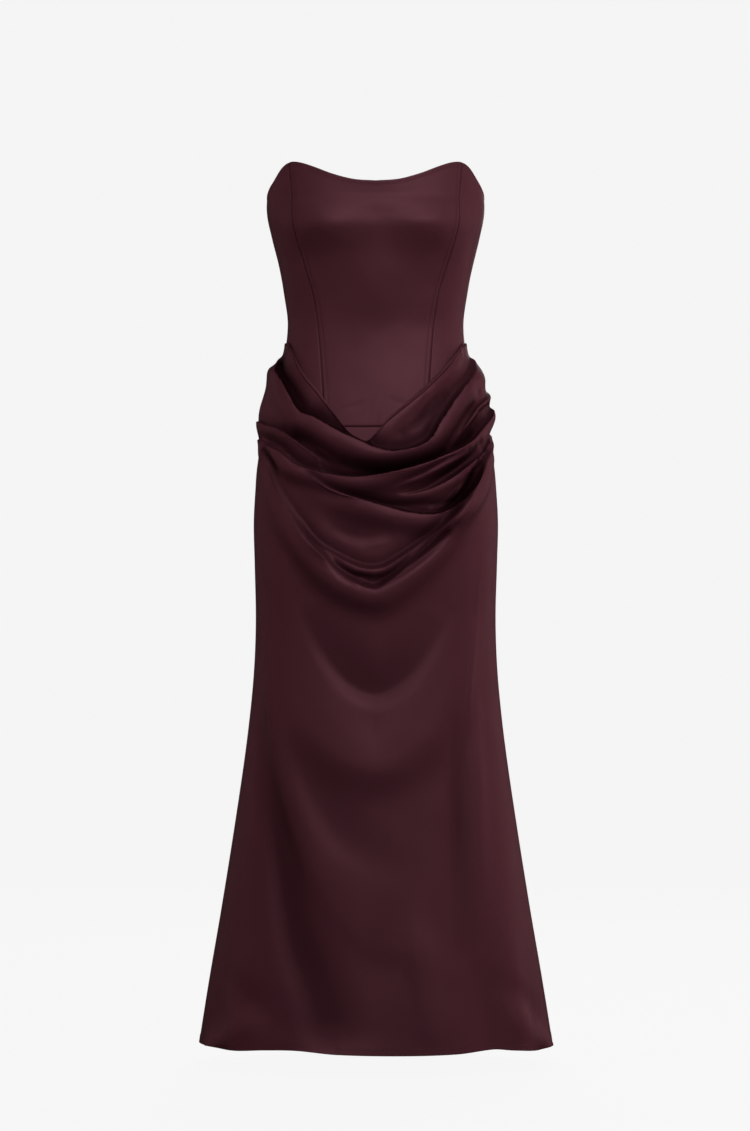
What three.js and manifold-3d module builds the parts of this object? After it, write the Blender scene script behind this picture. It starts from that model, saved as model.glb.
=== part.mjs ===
// A floor-length strapless gown in satin: a boned bodice with princess seams, and a skirt whose
// front is cut with cowl folds that are caught in the side seams at the hips.
// Sizes are in millimetres and angles in degrees. +Z is up and the front faces -Y.
// The origin is in the middle of the bust, where the wearer holds the gown up.
// Left and right are the wearer's, so the left side is at +X.
import * as THREE from "three";
import { mergeVertices } from "three/addons/utils/BufferGeometryUtils.js";
import Module from "manifold-3d";

const wasm = await Module();
wasm.setup();

// Driving sizes
const BODICE_WALL = 2;
const SKIRT_WALL = 1.5;
const SEAM_GAP = 0.3;
const BODICE_BOTTOM = -318;
const YOKE_BOTTOM = -362;
const HEM = -1188;
const DEGREES = Math.PI / 180;

// Half the width of the gown at each height, and how far its front and back stand from the middle.
const SECTIONS = [
  { z: -1195, half: 251, front: 182, back: 190 },
  { z: -1100, half: 236, front: 167, back: 173 },
  { z: -1000, half: 219, front: 152, back: 156 },
  { z: -900, half: 203, front: 138, back: 141 },
  { z: -800, half: 188, front: 126, back: 128 },
  { z: -730, half: 179, front: 119, back: 121 },
  { z: -660, half: 172.5, front: 115, back: 117 },
  { z: -590, half: 170, front: 112, back: 117 },
  { z: -510, half: 171.5, front: 110, back: 121 },
  { z: -450, half: 172.5, front: 109, back: 125 },
  { z: -400, half: 169, front: 108, back: 125 },
  { z: -345, half: 161.5, front: 105, back: 120 },
  { z: -300, half: 153, front: 101, back: 111 },
  { z: -250, half: 140, front: 95, back: 97 },
  { z: -205, half: 127.5, front: 89, back: 85 },
  { z: -170, half: 124.5, front: 86, back: 80 },
  { z: -135, half: 128.5, front: 89, back: 81 },
  { z: -92, half: 136.5, front: 96, back: 84 },
  { z: -45, half: 148, front: 106, back: 87 },
  { z: -22, half: 153, front: 110, back: 87.6 },
  { z: 0, half: 154.5, front: 113, back: 88 },
  { z: 60, half: 149.5, front: 105, back: 85 },
];
// How much squarer than an ellipse the sections are, in front and at the back.
const FRONT_SQUARE = 0.2;
const BACK_SQUARE = 0.14;
// The fullness that the princess seams give over each side of the bust.
const CUP = { x: 74, z: -12, rise: 11, wide: 42, tall: 36 };

// The top edge's height against the turn from the centre front, the same on both sides.
const NECKLINE = [
  { turn: 0, z: 25.5 },
  { turn: 12, z: 28 },
  { turn: 24, z: 36 },
  { turn: 36, z: 46.5 },
  { turn: 46, z: 53 },
  { turn: 54, z: 53.5 },
  { turn: 62, z: 46 },
  { turn: 74, z: 26 },
  { turn: 90, z: 12 },
  { turn: 120, z: 7 },
  { turn: 180, z: 5 },
];

// How far the princess seams lie from the centre front.
const PRINCESS_SEAM = [
  { z: -330, x: 70 },
  { z: -260, x: 75 },
  { z: -213, x: 78 },
  { z: -170, x: 82 },
  { z: -132, x: 88 },
  { z: -97, x: 98 },
  { z: -47, x: 113 },
  { z: -7, x: 120.5 },
  { z: 53, x: 121.5 },
];

// The skirt front's top edge, which is a V below the bodice, seen from the front.
const COWL_EDGE = [
  { x: -125, z: -198 },
  { x: -106, z: -237 },
  { x: -81, z: -271 },
  { x: -61, z: -298 },
  { x: -43, z: -322 },
  { x: -27, z: -334 },
  { x: -13, z: -339 },
  { x: 3, z: -326 },
  { x: 16, z: -310 },
  { x: 34, z: -294 },
  { x: 62, z: -270 },
  { x: 81, z: -251 },
  { x: 104, z: -226 },
  { x: 125, z: -198 },
];

// The skirt front's rows, which sag as the cowl does: the height at the side seams and at the
// lowest point, how square the sag is, and the steps from that row to the next one.
const SKIRT_ROWS = [
  { side: -198, low: -339, power: 1.6, steps: 5 },
  { side: -232, low: -356, power: 2.3, steps: 9 },
  { side: -290, low: -394, power: 2.1, steps: 9 },
  { side: -335, low: -434, power: 1.9, steps: 8 },
  { side: -362, low: -500, power: 1.4, steps: 6 },
  { side: -392, low: -552, power: 1.3, steps: 6 },
  { side: -540, low: -710, power: 1.5, steps: 5 },
  { side: -800, low: -900, power: 1.6, steps: 6 },
  { side: HEM, low: HEM, power: 1.6, steps: 0 },
];

// How far the skirt front stands off the figure, at the right and left side seams and in the
// middle.
const FULLNESS = [
  { z: -1195, right: 0, left: 0, middle: 0 },
  { z: -700, right: 0, left: 0, middle: 0.5 },
  { z: -600, right: 0, left: 0, middle: 2 },
  { z: -520, right: 0.3, left: 0.8, middle: 5 },
  { z: -420, right: 1, left: 1.5, middle: 6.5 },
  { z: -365, right: 2, left: 2, middle: 7 },
  { z: -345, right: 2.8, left: 2.4, middle: 7 },
  { z: -328, right: 9, left: 8.5, middle: 7 },
  { z: -305, right: 13.5, left: 12, middle: 7 },
  { z: -292, right: 14.5, left: 13.5, middle: 6.6 },
  { z: -281, right: 14, left: 16.5, middle: 6.2 },
  { z: -265, right: 13, left: 13, middle: 5.5 },
  { z: -253, right: 12.5, left: 12, middle: 5 },
  { z: -239, right: 11.5, left: 7, middle: 4.6 },
  { z: -228, right: 4, left: 3.2, middle: 4.1 },
  { z: -214, right: 2.8, left: 2.6, middle: 3.5 },
  { z: -198, right: 2.6, left: 2.4, middle: 3 },
];
// The least distance from the figure, over the bodice and yoke, and where that ends.
const OVER_BODICE = { least: 2.4, from: -372, to: -430 };
// The calm band beside each side seam, and the radius that turns a turn into a way across.
const SEAM_BAND = 15;
const ACROSS = 136;
// The height at which the cowl's edge is measured, and the share of the width it spans there.
const EDGE_LEVEL = { z: -260, share: 0.97 };

// The folds of the skirt front. path runs from the right side seam to the left one, as [x, z]
// seen from the front. rise is the height of the crest, or the depth of a trough, at the path's
// start, middle and end, and above and below are how far it reaches to each side.
const FOLDS = [
  {
    name: "rolled edge",
    path: [[-5, -333], [27, -309], [55, -284], [90, -248], [118, -213]],
    rise: [1, 4, 2.5],
    above: 7,
    below: 10,
  },
  {
    name: "second lip",
    path: [
      [-136, -216], [-124, -259], [-101, -300], [-86, -305], [-31, -336],
      [22, -353], [70, -341], [90, -309], [117, -266], [135, -217],
    ],
    rise: [4, 13, 4],
    above: 5,
    below: 21,
  },
  {
    name: "under the second lip",
    path: [
      [-124, -322], [-95, -337], [-71, -357], [-43, -369], [-5, -375],
      [34, -372], [69, -363], [90, -349], [108, -322], [121, -301], [137, -273],
    ],
    rise: [-1, -7, -4],
    above: 9,
    below: 8,
  },
  {
    name: "right hip pleat",
    path: [[-160, -312], [-138, -320], [-120, -332], [-101, -347], [-82, -367]],
    rise: [3, 4, 1],
    above: 4,
    below: 13,
  },
  {
    name: "third lip",
    path: [
      [-161, -340], [-134, -353], [-111, -371], [-89, -379], [-31, -389],
      [38, -379], [107, -354], [131, -339], [147, -320], [158, -287], [160, -270],
    ],
    rise: [4, 12, 5],
    above: 5,
    below: 17,
  },
  {
    name: "right hip dimple",
    path: [[-158, -346], [-152, -358], [-144, -374], [-134, -392]],
    rise: [-2, -4, 0],
    above: 7,
    below: 7,
  },
  {
    name: "left hip ridge",
    path: [[101, -349], [111, -339], [124, -316], [139, -291], [151, -268]],
    rise: [2, 5, 2],
    above: 5,
    below: 5,
  },
  {
    name: "left hip hollow",
    path: [[108, -346], [118, -338], [133, -322], [143, -296]],
    rise: [-1, -5, -2],
    above: 5,
    below: 6,
  },
  {
    name: "third layer hollow",
    path: [[10, -404], [31, -395], [65, -383], [97, -364], [125, -350]],
    rise: [0, -3.5, -2],
    above: 5,
    below: 5,
  },
  {
    name: "third layer trough",
    path: [[42, -407], [65, -400], [88, -387], [117, -367], [144, -341]],
    rise: [-1, -5, -4],
    above: 6,
    below: 6,
  },
  {
    name: "left hip lip",
    path: [[0, -412], [24, -414], [58, -411], [91, -399], [131, -370], [153, -351], [165, -331]],
    rise: [0, 5, 4],
    above: 5,
    below: 8,
  },
  {
    name: "over the fourth lip",
    path: [
      [-101, -375], [-80, -386], [-50, -402], [-15, -414], [18, -421],
      [78, -423], [104, -418], [124, -405], [141, -370],
    ],
    rise: [-1, -5, -4],
    above: 7,
    below: 6,
  },
  {
    name: "tucked end",
    path: [[80, -432], [104, -417], [118, -399], [130, -382]],
    rise: [2, 5, 1],
    above: 4,
    below: 4,
  },
  {
    name: "fourth lip",
    path: [
      [-106, -379], [-66, -405], [-15, -421], [45, -437], [80, -440],
      [104, -432], [137, -400], [153, -363], [161, -348],
    ],
    rise: [1, 9, 5],
    above: 6,
    below: 22,
  },
  {
    name: "hollow of the lower cowl",
    path: [[-60, -430], [-50, -450], [-30, -463], [-5, -466], [30, -460]],
    rise: [0, -3.5, 0],
    above: 13,
    below: 12,
  },
  {
    name: "fifth lip",
    path: [
      [-120, -420], [-94, -472], [-66, -494], [-25, -515], [-5, -518],
      [16, -514], [62, -483], [104, -444], [123, -420],
    ],
    rise: [0, 6, 2],
    above: 7,
    below: 9,
  },
  {
    name: "between the lower lips",
    path: [[-20, -531], [-2, -536], [13, -532], [45, -511], [76, -487], [104, -457]],
    rise: [-1, -3.5, -2],
    above: 7,
    below: 7,
  },
  {
    name: "sixth lip",
    path: [
      [-154, -366], [-130, -424], [-106, -462], [-80, -494], [-47, -527], [-2, -546],
      [20, -534], [51, -508], [79, -480], [125, -420], [158, -355],
    ],
    rise: [2, 9, 3],
    above: 9,
    below: 26,
  },
  {
    name: "thigh swag",
    path: [
      [-157, -504], [-130, -574], [-106, -626], [-73, -676], [-40, -710],
      [2, -724], [38, -704], [76, -658], [114, -598], [137, -532],
    ],
    rise: [1, 5, 1],
    above: 26,
    below: 34,
  },
  {
    name: "right knee ridge",
    path: [[-157, -560], [-150, -659], [-138, -745], [-105, -830], [-73, -900], [-36, -948]],
    rise: [1, 5, 1],
    above: 30,
    below: 14,
  },
  {
    name: "right knee trough",
    path: [[-163, -700], [-140, -830], [-120, -924], [-96, -1008], [-73, -1088], [-50, -1150]],
    rise: [-1, -8, -2],
    above: 24,
    below: 24,
  },
  {
    name: "left knee ridge",
    path: [[148, -532], [135, -644], [122, -738], [108, -822], [100, -900]],
    rise: [1, 4, 0],
    above: 14,
    below: 16,
  },
];

// The waves of the skirt's lower part: the turn from the centre front, the height of the ridge
// or depth of the trough at the hem, how wide it is, and how far up the skirt it starts.
const FLUTES = [
  { turn: -66, rise: -7, wide: 11, start: -900 },
  { turn: -50, rise: 6, wide: 10, start: -960 },
  { turn: -14, rise: 5, wide: 14, start: -1000 },
  { turn: 22, rise: 5, wide: 10, start: -940 },
  { turn: 41, rise: -8, wide: 9, start: -900 },
  { turn: 55, rise: 8, wide: 9, start: -860 },
  { turn: 71, rise: -6, wide: 8, start: -960 },
  { turn: 112, rise: 8, wide: 13, start: -800 },
  { turn: 138, rise: -9, wide: 12, start: -760 },
  { turn: 160, rise: 9, wide: 12, start: -780 },
  { turn: 202, rise: 10, wide: 12, start: -760 },
  { turn: 224, rise: -8, wide: 12, start: -800 },
  { turn: 248, rise: 8, wide: 13, start: -820 },
];
// How much the hem lifts, against the turn from the centre front.
const HEM_LIFT = [
  { turn: -90, lift: 0 },
  { turn: -66, lift: 2 },
  { turn: -50, lift: 1.5 },
  { turn: -38, lift: 5 },
  { turn: -26, lift: 6 },
  { turn: -12, lift: 1.5 },
  { turn: 8, lift: 0 },
  { turn: 26, lift: 1 },
  { turn: 42, lift: 6 },
  { turn: 50, lift: 2 },
  { turn: 58, lift: -1 },
  { turn: 76, lift: -2.5 },
  { turn: 90, lift: 0 },
  { turn: 138, lift: 7 },
  { turn: 180, lift: 1 },
  { turn: 224, lift: 6 },
  { turn: 270, lift: 0 },
];

// The concealed zip in the centre back: its slider, and the pull that hangs from it.
const ZIP = {
  z: -9,
  stem: 1.6,
  clear: 0.4,
  bodyWide: 8,
  bodyTall: 12,
  bodyDeep: 3.4,
  eyeTall: 6.4,
  eyeDeep: 4.6,
  eyeOut: 1.2,
  hole: 1.5,
  pin: 1.1,
  pinInset: 0.1,
  arm: 1.1,
  armDeep: 3,
  armTall: 8.4,
  armUp: 1.6,
  overlap: 0.8,
  tabLong: 22,
  tabWide: 5.6,
  tabThick: 1.3,
  insideGap: 1,
};
// Where the pull's tab bulges and where its round end starts, as shares of its length
const TAB = { bulge: 0.45, round: 0.72 };

// A smooth curve through a table's rows: the value of one column where another column is at.
function along(table, column, value, at) {
  const rising = table[0][column] < table[table.length - 1][column];
  const rows = rising ? table : [...table].reverse();
  const last = rows.length - 1;
  const t = Math.min(Math.max(at, rows[0][column]), rows[last][column]);
  let i = 0;
  while (i < last - 1 && t > rows[i + 1][column]) i++;
  const slope = (a, b) => (rows[b][value] - rows[a][value]) / (rows[b][column] - rows[a][column]);
  const step = rows[i + 1][column] - rows[i][column];
  const tangent = (k) => slope(Math.max(k - 1, 0), Math.min(k + 1, last));
  const s = (t - rows[i][column]) / step;
  const startPart = (1 + 2 * s) * (1 - s) ** 2 * rows[i][value];
  const endPart = s * s * (3 - 2 * s) * rows[i + 1][value];
  const startTurn = s * (1 - s) ** 2 * step * tangent(i);
  const endTurn = s * s * (s - 1) * step * tangent(i + 1);
  return startPart + endPart + startTurn + endTurn;
}

function smooth(from, to, at) {
  const t = Math.min(Math.max((at - from) / (to - from), 0), 1);
  return t * t * (3 - 2 * t);
}

function bell(distance, width) {
  return Math.exp(-((distance / width) ** 2));
}

// The figure that the gown is cut for: turn is 0 at the centre front, 90 at the left side seam
// and 180 at the centre back.
function figure(turn, z) {
  const half = along(SECTIONS, "z", "half", z);
  const sin = Math.sin(turn * DEGREES);
  const cos = Math.cos(turn * DEGREES);
  const depth = along(SECTIONS, "z", cos > 0 ? "front" : "back", z);
  const square = 1 + (cos > 0 ? FRONT_SQUARE : BACK_SQUARE) * sin * sin;
  const x = half * sin;
  const y = -depth * cos * square;
  const cups = bell(x - CUP.x, CUP.wide) + bell(x + CUP.x, CUP.wide);
  const bust = CUP.rise * cups * bell(z - CUP.z, CUP.tall) * smooth(0, 0.3, cos);
  return new THREE.Vector3(x, y - bust, z);
}

// The outward normal of any surface that is a function of turn and z.
function normalOf(surface, turn, z) {
  const [du, dz] = [0.8, 2];
  const across = surface(turn + du, z).sub(surface(turn - du, z));
  const up = surface(turn, z + dz).sub(surface(turn, z - dz));
  return across.cross(up).normalize();
}

function flutes(turn, z) {
  let sum = 0;
  for (const f of FLUTES) {
    const away = ((turn - f.turn + 540) % 360) - 180;
    sum += f.rise * bell(away, f.wide) * smooth(f.start, HEM, z) ** 1.5;
  }
  return sum;
}

// The surface of the skirt's back and of the bodice: the figure, with the flutes near the hem.
function skirtBase(turn, z) {
  const away = flutes(turn, z);
  const p = figure(turn, z);
  return away === 0 ? p : p.addScaledVector(normalOf(figure, turn, z), away);
}

// Each fold's crest as a close line of points in cloth sizes: across the front, and height.
const CREASES = FOLDS.map((fold) => {
  const points = fold.path.map(([x, z]) => {
    const half = along(SECTIONS, "z", "half", z) + along(FULLNESS, "z", "middle", z);
    return new THREE.Vector3(ACROSS * Math.asin(Math.max(-1, Math.min(1, x / half))), z, 0);
  });
  const curve = new THREE.CatmullRomCurve3(points, false, "centripetal");
  return { ...fold, line: curve.getSpacedPoints(5 * (points.length - 1)) };
});

// How far one fold moves a point of the cloth: a soft bump across its crest, with its own reach
// above and below.
function foldAt(crease, across, z) {
  const line = crease.line;
  let best = Infinity;
  let share = 0;
  let above = true;
  for (let i = 0; i + 1 < line.length; i++) {
    const [ax, az] = [line[i].x, line[i].y];
    const [bx, bz] = [line[i + 1].x - ax, line[i + 1].y - az];
    const t = Math.min(Math.max(((across - ax) * bx + (z - az) * bz) / (bx * bx + bz * bz), 0), 1);
    const [dx, dz] = [across - ax - t * bx, z - az - t * bz];
    const distance = Math.hypot(dx, dz);
    if (distance < best) {
      best = distance;
      share = (i + t) / (line.length - 1);
      above = bx * dz - bz * dx > 0;
    }
  }
  const [start, middle, end] = crease.rise;
  const toMiddle = start + (middle - start) * smooth(0, 0.5, share);
  const fromMiddle = middle + (end - middle) * smooth(0.5, 1, share);
  const rise = share < 0.5 ? toMiddle : fromMiddle;
  return rise * bell(best, above ? crease.above : crease.below);
}

// How far the skirt front stands off the figure.
function drape(turn, z) {
  const across = ACROSS * turn * DEGREES;
  const fromSeam = ACROSS * DEGREES * (90 - Math.abs(turn));
  const inside = smooth(0, SEAM_BAND, fromSeam);
  const atSide = Math.abs(Math.sin(turn * DEGREES)) ** 8;
  const side = along(FULLNESS, "z", turn > 0 ? "left" : "right", z);
  const middle = along(FULLNESS, "z", "middle", z);
  let away = THREE.MathUtils.lerp(middle, side, atSide);
  for (const crease of CREASES) away += foldAt(crease, across, z);
  const least = OVER_BODICE.least * smooth(OVER_BODICE.to, OVER_BODICE.from, z);
  const kept = z > OVER_BODICE.to ? 0.5 * (away + least + Math.hypot(away - least, 1)) : away;
  const over = THREE.MathUtils.lerp(away, kept, smooth(OVER_BODICE.to, OVER_BODICE.from, z));
  return least * (1 - inside) + over * inside;
}

function skirtFront(turn, z) {
  return skirtBase(turn, z).addScaledVector(normalOf(figure, turn, z), drape(turn, z));
}

// A cloth piece as a closed wall. place(u, v) gives a turn and z, with u and v from 0 to 1, and
// surface(turn, z) the outer face. The inner face is one wall thickness further in.
function wall(name, colour, surface, place, columns, rows, thickness) {
  const outer = [];
  const inner = [];
  for (let j = 0; j <= rows; j++) {
    for (let i = 0; i <= columns; i++) {
      const [turn, z] = place(i / columns, j / rows);
      const p = surface(turn, z);
      outer.push(p);
      inner.push(p.clone().addScaledVector(normalOf(surface, turn, z), -thickness));
    }
  }
  const count = outer.length;
  const faces = [];
  const quad = (a, b, c, d) => faces.push(a, b, c, a, c, d);
  const at = (i, j) => j * (columns + 1) + i;
  for (let j = 0; j < rows; j++) {
    for (let i = 0; i < columns; i++) {
      const [a, b, c, d] = [at(i, j), at(i + 1, j), at(i + 1, j + 1), at(i, j + 1)];
      if (outer[a].distanceTo(outer[c]) < outer[b].distanceTo(outer[d])) {
        quad(a, b, c, d);
        quad(count + a, count + d, count + c, count + b);
      } else {
        quad(b, c, d, a);
        quad(count + b, count + a, count + d, count + c);
      }
    }
  }
  const rim = [];
  for (let i = 0; i < columns; i++) rim.push(at(i, 0));
  for (let j = 0; j < rows; j++) rim.push(at(columns, j));
  for (let i = columns; i > 0; i--) rim.push(at(i, rows));
  for (let j = rows; j > 0; j--) rim.push(at(0, j));
  rim.forEach((a, k) => {
    const b = rim[(k + 1) % rim.length];
    quad(b, a, count + a, count + b);
  });
  const geometry = new THREE.BufferGeometry().setFromPoints([...outer, ...inner]);
  geometry.setIndex(faces);
  return clothMesh(name, colour, geometry);
}

function clothMesh(name, colour, geometry) {
  const material = new THREE.MeshStandardMaterial({ color: colour, roughness: 0.42, metalness: 0 });
  const mesh = new THREE.Mesh(geometry, material);
  mesh.name = name;
  return mesh;
}

// Turns and heights of the seams
const gapTurn = (z) => SEAM_GAP / 2 / along(SECTIONS, "z", "front", z) / DEGREES;
const neckline = (turn) => along(NECKLINE, "turn", "z", turn > 180 ? 360 - turn : Math.abs(turn));
const hemline = (turn) => HEM + along(HEM_LIFT, "turn", "lift", turn);
const princess = (z) =>
  Math.asin(along(PRINCESS_SEAM, "z", "x", z) / along(SECTIONS, "z", "half", z)) / DEGREES;

// A place function for a bodice panel between two seams, each a turn at a height.
function between(fromTurn, toTurn, bottom, top) {
  return (u, v) => {
    let z = bottom;
    let turn = 0;
    for (let k = 0; k < 6; k++) {
      turn = THREE.MathUtils.lerp(fromTurn(z), toTurn(z), u);
      z = THREE.MathUtils.lerp(bottom, top(turn), v);
    }
    return [turn, z];
  };
}

// The centre back edge steps back beside the zip's slider.
function backEdge(z) {
  const widened = smooth(ZIP.z - 15, ZIP.z - 10, z);
  const halfGap = THREE.MathUtils.lerp(SEAM_GAP / 2, ZIP.stem / 2 + ZIP.clear, widened);
  return halfGap / along(SECTIONS, "z", "half", z) / DEGREES;
}

// A place function for the skirt front, whose rows sag from side seam to side seam. The first
// row is the cowl's edge.
function skirtPlace(u, v) {
  const edgeTurn = 90 - gapTurn(YOKE_BOTTOM);
  const turn = THREE.MathUtils.lerp(-edgeTurn, edgeTurn, u);
  const sin = Math.sin(turn * DEGREES);
  const edgeX = along(SECTIONS, "z", "half", EDGE_LEVEL.z) * sin * EDGE_LEVEL.share;
  const [first] = SKIRT_ROWS;
  const edgeSag = (along(COWL_EDGE, "x", "z", edgeX) - first.side) / (first.low - first.side);
  const total = SKIRT_ROWS.reduce((sum, row) => sum + row.steps, 0);
  let step = v * total;
  let k = 0;
  while (k < SKIRT_ROWS.length - 2 && step > SKIRT_ROWS[k].steps) step -= SKIRT_ROWS[k++].steps;
  const share = step / SKIRT_ROWS[k].steps;
  const [row, next] = [SKIRT_ROWS[k], SKIRT_ROWS[k + 1]];
  const sagOf = ({ power }) => 1 - Math.abs(sin) ** power;
  const heightOf = (at, sag) => at.side + (at.low - at.side) * sag;
  const here = heightOf(row, k === 0 ? edgeSag : sagOf(row));
  const z = THREE.MathUtils.lerp(here, heightOf(next, sagOf(next)), share);
  const atHem = k === SKIRT_ROWS.length - 2 ? share : 0;
  return [turn, z + atHem * (hemline(turn) - HEM)];
}

function bodice() {
  const satin = 0x4d2b33;
  const side = (sign) => (z) => sign * (90 - gapTurn(z));
  const seam = (sign, gap) => (z) => sign * (princess(z) + gap * gapTurn(z));
  const bottom = BODICE_BOTTOM + SEAM_GAP / 2;
  const left = (z) => 90 + gapTurn(z);
  const leftBack = (z) => 180 - backEdge(z);
  const rightBack = (z) => 180 + backEdge(z);
  const right = (z) => 270 - gapTurn(z);
  const panels = [
    ["bodice_front_centre", seam(-1, -1), seam(1, -1), 18, 16],
    ["bodice_front_left", seam(1, 1), side(1), 7, 16],
    ["bodice_front_right", side(-1), seam(-1, 1), 7, 16],
    ["bodice_back_left", left, leftBack, 10, 16],
    ["bodice_back_right", rightBack, right, 10, 16],
  ];
  return panels.map(([name, from, to, columns, rows]) => {
    const place = between(from, to, bottom, neckline);
    return wall(name, satin, figure, place, columns, rows, BODICE_WALL);
  });
}

function frontYoke() {
  const side = (sign) => (z) => sign * (90 - gapTurn(z));
  const top = BODICE_BOTTOM - SEAM_GAP / 2;
  const place = between(side(-1), side(1), YOKE_BOTTOM, () => top);
  return wall("front_yoke", 0x47262e, figure, place, 22, 3, SKIRT_WALL);
}

function skirtBack() {
  const top = BODICE_BOTTOM - SEAM_GAP / 2;
  const centre = (sign) => (z) => 180 + (sign * SEAM_GAP) / 2 / along(SECTIONS, "z", "half", z) / DEGREES;
  const place = (from, to) => (u, v) => {
    const turn = THREE.MathUtils.lerp(from(HEM), to(HEM), u);
    const z = THREE.MathUtils.lerp(hemline(turn), top, v);
    return [THREE.MathUtils.lerp(from(z), to(z), u), z];
  };
  const left = (z) => 90 + gapTurn(z);
  const right = (z) => 270 - gapTurn(z);
  return [
    wall("skirt_back_left", 0x42222b, skirtBase, place(left, centre(-1)), 16, 18, SKIRT_WALL),
    wall("skirt_back_right", 0x42222b, skirtBase, place(centre(1), right), 16, 18, SKIRT_WALL),
  ];
}

function skirtFrontPiece() {
  const rows = SKIRT_ROWS.reduce((sum, row) => sum + row.steps, 0);
  const upward = (u, v) => skirtPlace(u, 1 - v);
  return wall("skirt_front", 0x45242c, skirtFront, upward, 44, rows, SKIRT_WALL);
}

// A three.js geometry as a solid that can be joined and cut
function solid(geometry) {
  const bare = geometry.clone();
  bare.deleteAttribute("normal");
  bare.deleteAttribute("uv");
  const merged = mergeVertices(bare, 1e-4);
  const vertProperties = new Float32Array(merged.attributes.position.array);
  const triVerts = new Uint32Array(merged.index.array);
  return new wasm.Manifold(new wasm.Mesh({ numProp: 3, vertProperties, triVerts }));
}

function geometryOf(made) {
  const mesh = made.getMesh();
  return new THREE.BufferGeometry()
    .setAttribute("position", new THREE.BufferAttribute(mesh.vertProperties, 3))
    .setIndex(new THREE.BufferAttribute(mesh.triVerts, 1));
}

const box = (wide, deep, tall, x, y, z) =>
  solid(new THREE.BoxGeometry(wide, deep, tall).translate(x, y, z));
const rod = (radius, long, y, z) =>
  solid(new THREE.CylinderGeometry(radius, radius, long, 12).rotateZ(Math.PI / 2).translate(0, y, z));

// Where the pull turns on the slider
const BACK_FACE = along(SECTIONS, "z", "back", ZIP.z);
const PIVOT_Y = BACK_FACE + ZIP.eyeOut + ZIP.eyeDeep / 2;

// The slider lies inside the back, and its flat stem comes out between the back's edges and ends
// in an eye for the pull.
function zipSlider() {
  const insideY = BACK_FACE - BODICE_WALL - ZIP.insideGap - ZIP.bodyDeep / 2;
  const body = box(ZIP.bodyWide, ZIP.bodyDeep, ZIP.bodyTall, 0, insideY, ZIP.z);
  const outY = PIVOT_Y + ZIP.eyeDeep / 2;
  const stem = box(ZIP.stem, outY - insideY, ZIP.eyeTall, 0, (outY + insideY) / 2, ZIP.z);
  const made = body.add(stem).subtract(rod(ZIP.hole, 2 * ZIP.stem, PIVOT_Y, ZIP.z));
  return metalMesh("zip_slider", geometryOf(made));
}

// The pull is a drop-shaped tab with two arms and a pin through the slider's eye.
function zipPull() {
  const armX = ZIP.stem / 2 + ZIP.clear + ZIP.arm / 2;
  const armZ = ZIP.z + ZIP.armUp - ZIP.armTall / 2;
  const arm = (sign) => box(ZIP.arm, ZIP.armDeep, ZIP.armTall, sign * armX, PIVOT_Y, armZ);
  const pin = rod(ZIP.pin, 2 * (armX - ZIP.pinInset) + ZIP.arm, PIVOT_Y, ZIP.z);
  const drop = new THREE.Shape();
  const topWide = armX + ZIP.arm / 2;
  const wide = ZIP.tabWide / 2;
  const [bulge, round] = [-ZIP.tabLong * TAB.bulge, -ZIP.tabLong * TAB.round];
  drop.moveTo(-topWide, 0);
  drop.lineTo(topWide, 0);
  drop.quadraticCurveTo(wide, bulge, wide, round);
  drop.absarc(0, round, wide, 0, -Math.PI, true);
  drop.quadraticCurveTo(-wide, bulge, -topWide, 0);
  const tab = new THREE.ExtrudeGeometry(drop, {
    depth: ZIP.tabThick,
    bevelEnabled: false,
    curveSegments: 8,
  });
  const tabTop = armZ - ZIP.armTall / 2 + ZIP.overlap;
  tab.rotateX(Math.PI / 2).translate(0, PIVOT_Y + ZIP.tabThick / 2, tabTop);
  const made = arm(1).add(arm(-1)).add(pin).add(solid(tab));
  return metalMesh("zip_pull", geometryOf(made));
}

function metalMesh(name, geometry) {
  const material = new THREE.MeshStandardMaterial({ color: 0x3d2128, roughness: 0.35, metalness: 0.6 });
  const mesh = new THREE.Mesh(geometry, material);
  mesh.name = name;
  return mesh;
}

const gown = new THREE.Group();
gown.add(...bodice(), frontYoke(), skirtFrontPiece(), ...skirtBack(), zipSlider(), zipPull());
export default gown;
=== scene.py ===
"""The looks of a floor-length strapless satin gown: a boned bodice with princess seams, and a
skirt whose front hangs in cowl folds that are caught in the side seams.

The tables hold millimetres and degrees, as a pattern cutter writes them, and MM turns a finished
shape into Blender's metres. +Z is up, the front faces -Y and the wearer's left is at +X.
"""
import math

import bmesh
import bpy
import numpy as np
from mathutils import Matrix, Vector


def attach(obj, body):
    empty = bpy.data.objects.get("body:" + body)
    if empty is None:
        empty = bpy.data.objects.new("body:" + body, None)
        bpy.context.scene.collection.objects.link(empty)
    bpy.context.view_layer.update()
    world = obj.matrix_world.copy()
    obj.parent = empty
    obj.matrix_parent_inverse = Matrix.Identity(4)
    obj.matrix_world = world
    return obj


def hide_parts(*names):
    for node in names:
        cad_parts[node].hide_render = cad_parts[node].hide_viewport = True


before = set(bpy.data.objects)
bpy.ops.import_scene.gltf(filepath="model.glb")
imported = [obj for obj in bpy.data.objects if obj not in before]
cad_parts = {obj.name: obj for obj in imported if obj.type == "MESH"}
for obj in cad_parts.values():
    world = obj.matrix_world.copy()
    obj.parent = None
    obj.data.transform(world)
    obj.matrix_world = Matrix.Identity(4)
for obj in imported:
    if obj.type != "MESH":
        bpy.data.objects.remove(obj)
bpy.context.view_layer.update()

bl_info = {
    "name": "Strapless Gown",
    "version": (1, 0, 0),
    "blender": (4, 5, 0),
    "location": "View3D > Sidebar > Gown",
    "description": "Builds the cloth, sewing and zip of a strapless satin gown around its frame",
    "category": "Add Mesh",
}

MM = 0.001
HEM = -1188.0
BODICE_BOTTOM = -318.0
YOKE_BOTTOM = -362.0
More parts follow.
